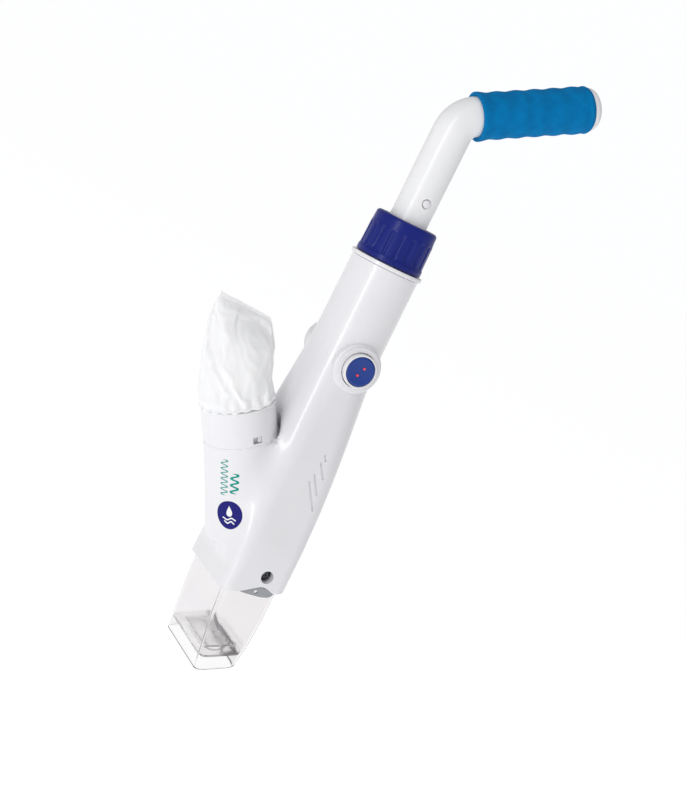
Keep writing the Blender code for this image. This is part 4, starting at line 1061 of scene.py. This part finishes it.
def make_inlet_plate():
    """A slanted plate across the nozzle, with a stepped lip round its port and two pin ears."""
    rise = PLATE_THICKNESS / math.cos(math.atan(MOUTH_SLOPE))
    inset = NOZZLE_WALL + 0.3
    bottom = MOUTH_Z + PLATE_LIFT
    rows = ((0.0, inset + 0.3), (0.3, inset), (rise - 0.3, inset), (rise, inset + 0.3))
    loops = [nozzle_loop(bottom + lift, MOUTH_SLOPE, edge) for lift, edge in rows]
    plate = skinned("port_plate", loops)
    half_x, half_y = PORT_HALF
    steps = []
    for i, (margin, low) in enumerate(((1.6, -3.6), (3.4, -2.6))):
        outline = stadium(half_x + margin, half_y + margin)
        steps.append(extruded(f"lip_{i}", outline, low, -1.0, PLATE_AT, MOUTH_TURN))
    hinge_x, hinge_z = HINGE_AT
    for side in (-1, 1):
        low_y, high_y = sorted((side * 30.2, side * 32.2))
        steps.append(block(
            f"ear_{side + 1}", (hinge_x - 2.4, low_y, -1.0), (hinge_x + 2.4, high_y, hinge_z + 2.2),
            PLATE_AT, MOUTH_TURN,
        ))
    join(plate, *steps)
    port = extruded("port", stadium(half_x, half_y), -10, 10, PLATE_AT, MOUTH_TURN)
    hinge = Vector(PLATE_AT) + MOUTH_TURN.to_matrix() @ Vector((hinge_x, 0.0, hinge_z))
    along_y = (MOUTH_TURN.to_matrix() @ TO_FRONT.to_matrix()).to_euler()
    cut(plate, port, rod("pin_hole", 1.25, -60.0, 60.0, hinge, along_y, 24))
    shown(smoothed(plate), "nozzle_unit", "clear_plastic", "inlet_plate", finish="clear_plate")


# ---------------------------------------------------------------- printed marks

DISC_CENTRE = (-38.0, -25.2, -268.0)
DISC_RADIUS = 11.6
LINE_ENDS = ((-48.3, -21.5, -255.3), (-61.6, -21.9, -228.4))
BOLD_ENDS = ((-43.4, -27.0, -250.4), (-50.4, -27.1, -235.1))


def surface_normal(point):
    here = np.array([point])
    step = 0.5
    slope = [
        float((housing_distance(here + offset) - housing_distance(here - offset))[0])
        for offset in np.eye(3) * step
    ]
    return Vector(slope).normalized()


def printed(name, finish, grid, centre, along, wrap, high):
    """A thin print on the housing, from a grid of flat points laid on its surface."""
    normal = surface_normal(centre)
    up = (Vector(along) - normal * Vector(along).dot(normal)).normalized()
    side = up.cross(normal)
    flat = [Vector(centre) + side * u + up * v for row in grid for u, v in row]
    columns = len(grid[0])
    bm = bmesh.new()
    layers = []
    for level in (high, -0.3):
        settled = settle(np.array(flat, float), housing_distance, level)
        verts = [bm.verts.new(point) for point in settled]
        layers.append([verts[i:i + columns] for i in range(0, len(verts), columns)])
    for layer in layers:
        add_bands(bm, layer, wrap)
    top, bottom = layers
    for row in (-1,) if wrap else (0, -1):
        add_bands(bm, (top[row], bottom[row]), wrap)
    if not wrap:
        for column in (0, -1):
            sides = [[row[column] for row in layer] for layer in layers]
            add_bands(bm, sides, wrap)
    bmesh.ops.dissolve_degenerate(bm, dist=1e-5, edges=bm.edges)
    obj = add_object(bm, name, finish)
    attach(obj, "housing")


def disc_grid(radius, rings=10, around=64):
    circle = [math.tau * k / around for k in range(around)]
    steps = [radius * i / rings for i in range(rings + 1)]
    return [[(reach * math.cos(a), reach * math.sin(a)) for a in circle] for reach in steps]


def wave_grid(length, height, width, waves, samples=60):
    """A wavy band of nearly even width, drawn along V."""
    rows = []
    for i in range(samples + 1):
        share = i / samples - 0.5
        v = length * share
        phase = math.tau * waves * share
        u = height * math.sin(phase)
        slope = height * math.tau * waves / length * math.cos(phase)
        reach = width / 2 * math.hypot(1.0, slope * 0.6)
        rows.append([(u - reach, v), (u, v), (u + reach, v)])
    return rows


def drop_grid(size, rings=8, around=48):
    """A water drop with its point up."""
    grid = []
    for i in range(rings + 1):
        row = []
        for k in range(around):
            angle = math.tau * k / around
            pinch = math.sin(angle / 2) ** 1.6
            row.append((
                size * i / rings * math.sin(angle) * pinch,
                size * i / rings * math.cos(angle) * 1.25 + size * 0.25,
            ))
        grid.append(row)
    return grid


def make_prints():
    """A badge with a drop over waves, and two wavy lines along the branch beside it."""
    axis = BRANCH_AXIS
    printed("badge", NAVY_PRINT, disc_grid(DISC_RADIUS), DISC_CENTRE, axis, True, 0.10)
    for i, lift in enumerate((-3.2, -6.0)):
        grid = [[(v, u + lift) for u, v in row] for row in wave_grid(12.0 - 2.5 * i, 0.8, 1.1, 1.5)]
        printed(f"badge_wave_{i + 1}", WHITE_PRINT, grid, DISC_CENTRE, axis, False, 0.22)
    drop = [[(u, v + 2.4) for u, v in row] for row in drop_grid(3.6)]
    printed("badge_drop", WHITE_PRINT, drop, DISC_CENTRE, axis, True, 0.22)
    for name, ends, height, width, waves in (
        ("line_print", LINE_ENDS, 2.8, 1.0, 7.0), ("bold_print", BOLD_ENDS, 2.6, 2.1, 3.0),
    ):
        start, end = (Vector(point) for point in ends)
        grid = wave_grid((end - start).length, height, width, waves)
        printed(name, TEAL, grid, (start + end) / 2, end - start, False, 0.16)


# ---------------------------------------------------------------- camera, lights and floor

LEAN, TILT, ROLL = (math.radians(angle) for angle in (-26.51, 7.48, 26.68))
CAMERA_PLACE = (-628.72, -1289.07, 37.48)
LENS = 81.0
FLOOR_Z = -620.0
BACKDROP = 1.03
ROOM_LIGHT = 0.5
FLOOR_GLOW = 0.54


def add_camera():
    camera = bpy.data.objects.new("camera", bpy.data.cameras.new("camera"))
    camera.data.lens = LENS
    camera.data.sensor_width = 36.0
    camera.data.clip_end = 500.0
    turns = ((LEAN, "Z"), (TILT, "X"), (ROLL, "Y"))
    lean, tilt, roll = (Matrix.Rotation(angle, 3, axis) for angle, axis in turns)
    to_camera = lean @ tilt @ roll @ Matrix(((1, 0, 0), (0, 0, 1), (0, -1, 0)))
    facing = to_camera.transposed().to_quaternion()
    camera.matrix_world = Matrix.LocRotScale(Vector(CAMERA_PLACE) * MM, facing, None)
    bpy.context.scene.collection.objects.link(camera)
    bpy.context.scene.camera = camera


def add_light(name, place, target, size, power):
    light = bpy.data.lights.new(name, "AREA")
    light.shape = "RECTANGLE"
    light.size, light.size_y = size
    light.energy = power
    obj = bpy.data.objects.new(name, light)
    obj.location = place
    obj.rotation_euler = (Vector(target) - Vector(place)).to_track_quat("-Z", "Y").to_euler()
    bpy.context.scene.collection.objects.link(obj)


def add_stage():
    bm = bmesh.new()
    bmesh.ops.create_grid(bm, x_segments=1, y_segments=1, size=200.0)
    mesh = bpy.data.meshes.new("floor")
    bm.to_mesh(mesh)
    bm.free()
    floor = bpy.data.objects.new("floor", mesh)
    floor.location.z = FLOOR_Z * MM
    bpy.context.scene.collection.objects.link(floor)
    paint, tree, shader = new_material("floor_paint", (0.93, 0.93, 0.93), 0.9)
    vary_roughness(tree, shader, noise_field(tree, 2.0), 0.85, 0.95)
    shader.inputs["Emission Color"].default_value = (1.0, 1.0, 1.0, 1.0)
    shader.inputs["Emission Strength"].default_value = FLOOR_GLOW
    mesh.materials.append(paint)

    world = bpy.data.worlds.new("studio")
    world.use_nodes = True
    tree = world.node_tree
    background = tree.nodes["Background"]
    background.inputs["Color"].default_value = (0.96, 0.965, 0.98, 1.0)
    # The camera sees a white backdrop, and the light that it gives is weaker.
    path = tree.nodes.new("ShaderNodeLightPath")
    strength = tree.nodes.new("ShaderNodeMapRange")
    strength.inputs["To Min"].default_value = ROOM_LIGHT
    strength.inputs["To Max"].default_value = BACKDROP
    tree.links.new(path.outputs["Is Camera Ray"], strength.inputs["Value"])
    tree.links.new(strength.outputs["Result"], background.inputs["Strength"])
    bpy.context.scene.world = world
    bpy.context.scene.view_settings.view_transform = "Standard"
    add_light("streak", (-1.45, -1.1, -0.1), (-0.02, 0.0, -0.2), (0.22, 2.4), 14.0)
    add_light("overhead", (-0.5, -0.8, 2.2), (0.0, 0.0, -0.2), (2.2, 2.2), 8.0)


# ---------------------------------------------------------------- assembly

add_camera()
add_stage()
dress_cad_nodes()
make_housing()
make_pole_socket()
make_lock_collar()
make_handle()
make_button()
make_charge_cap()
make_bag_collar()
make_filter_bag()
make_nozzle()
make_inlet_plate()
make_prints()
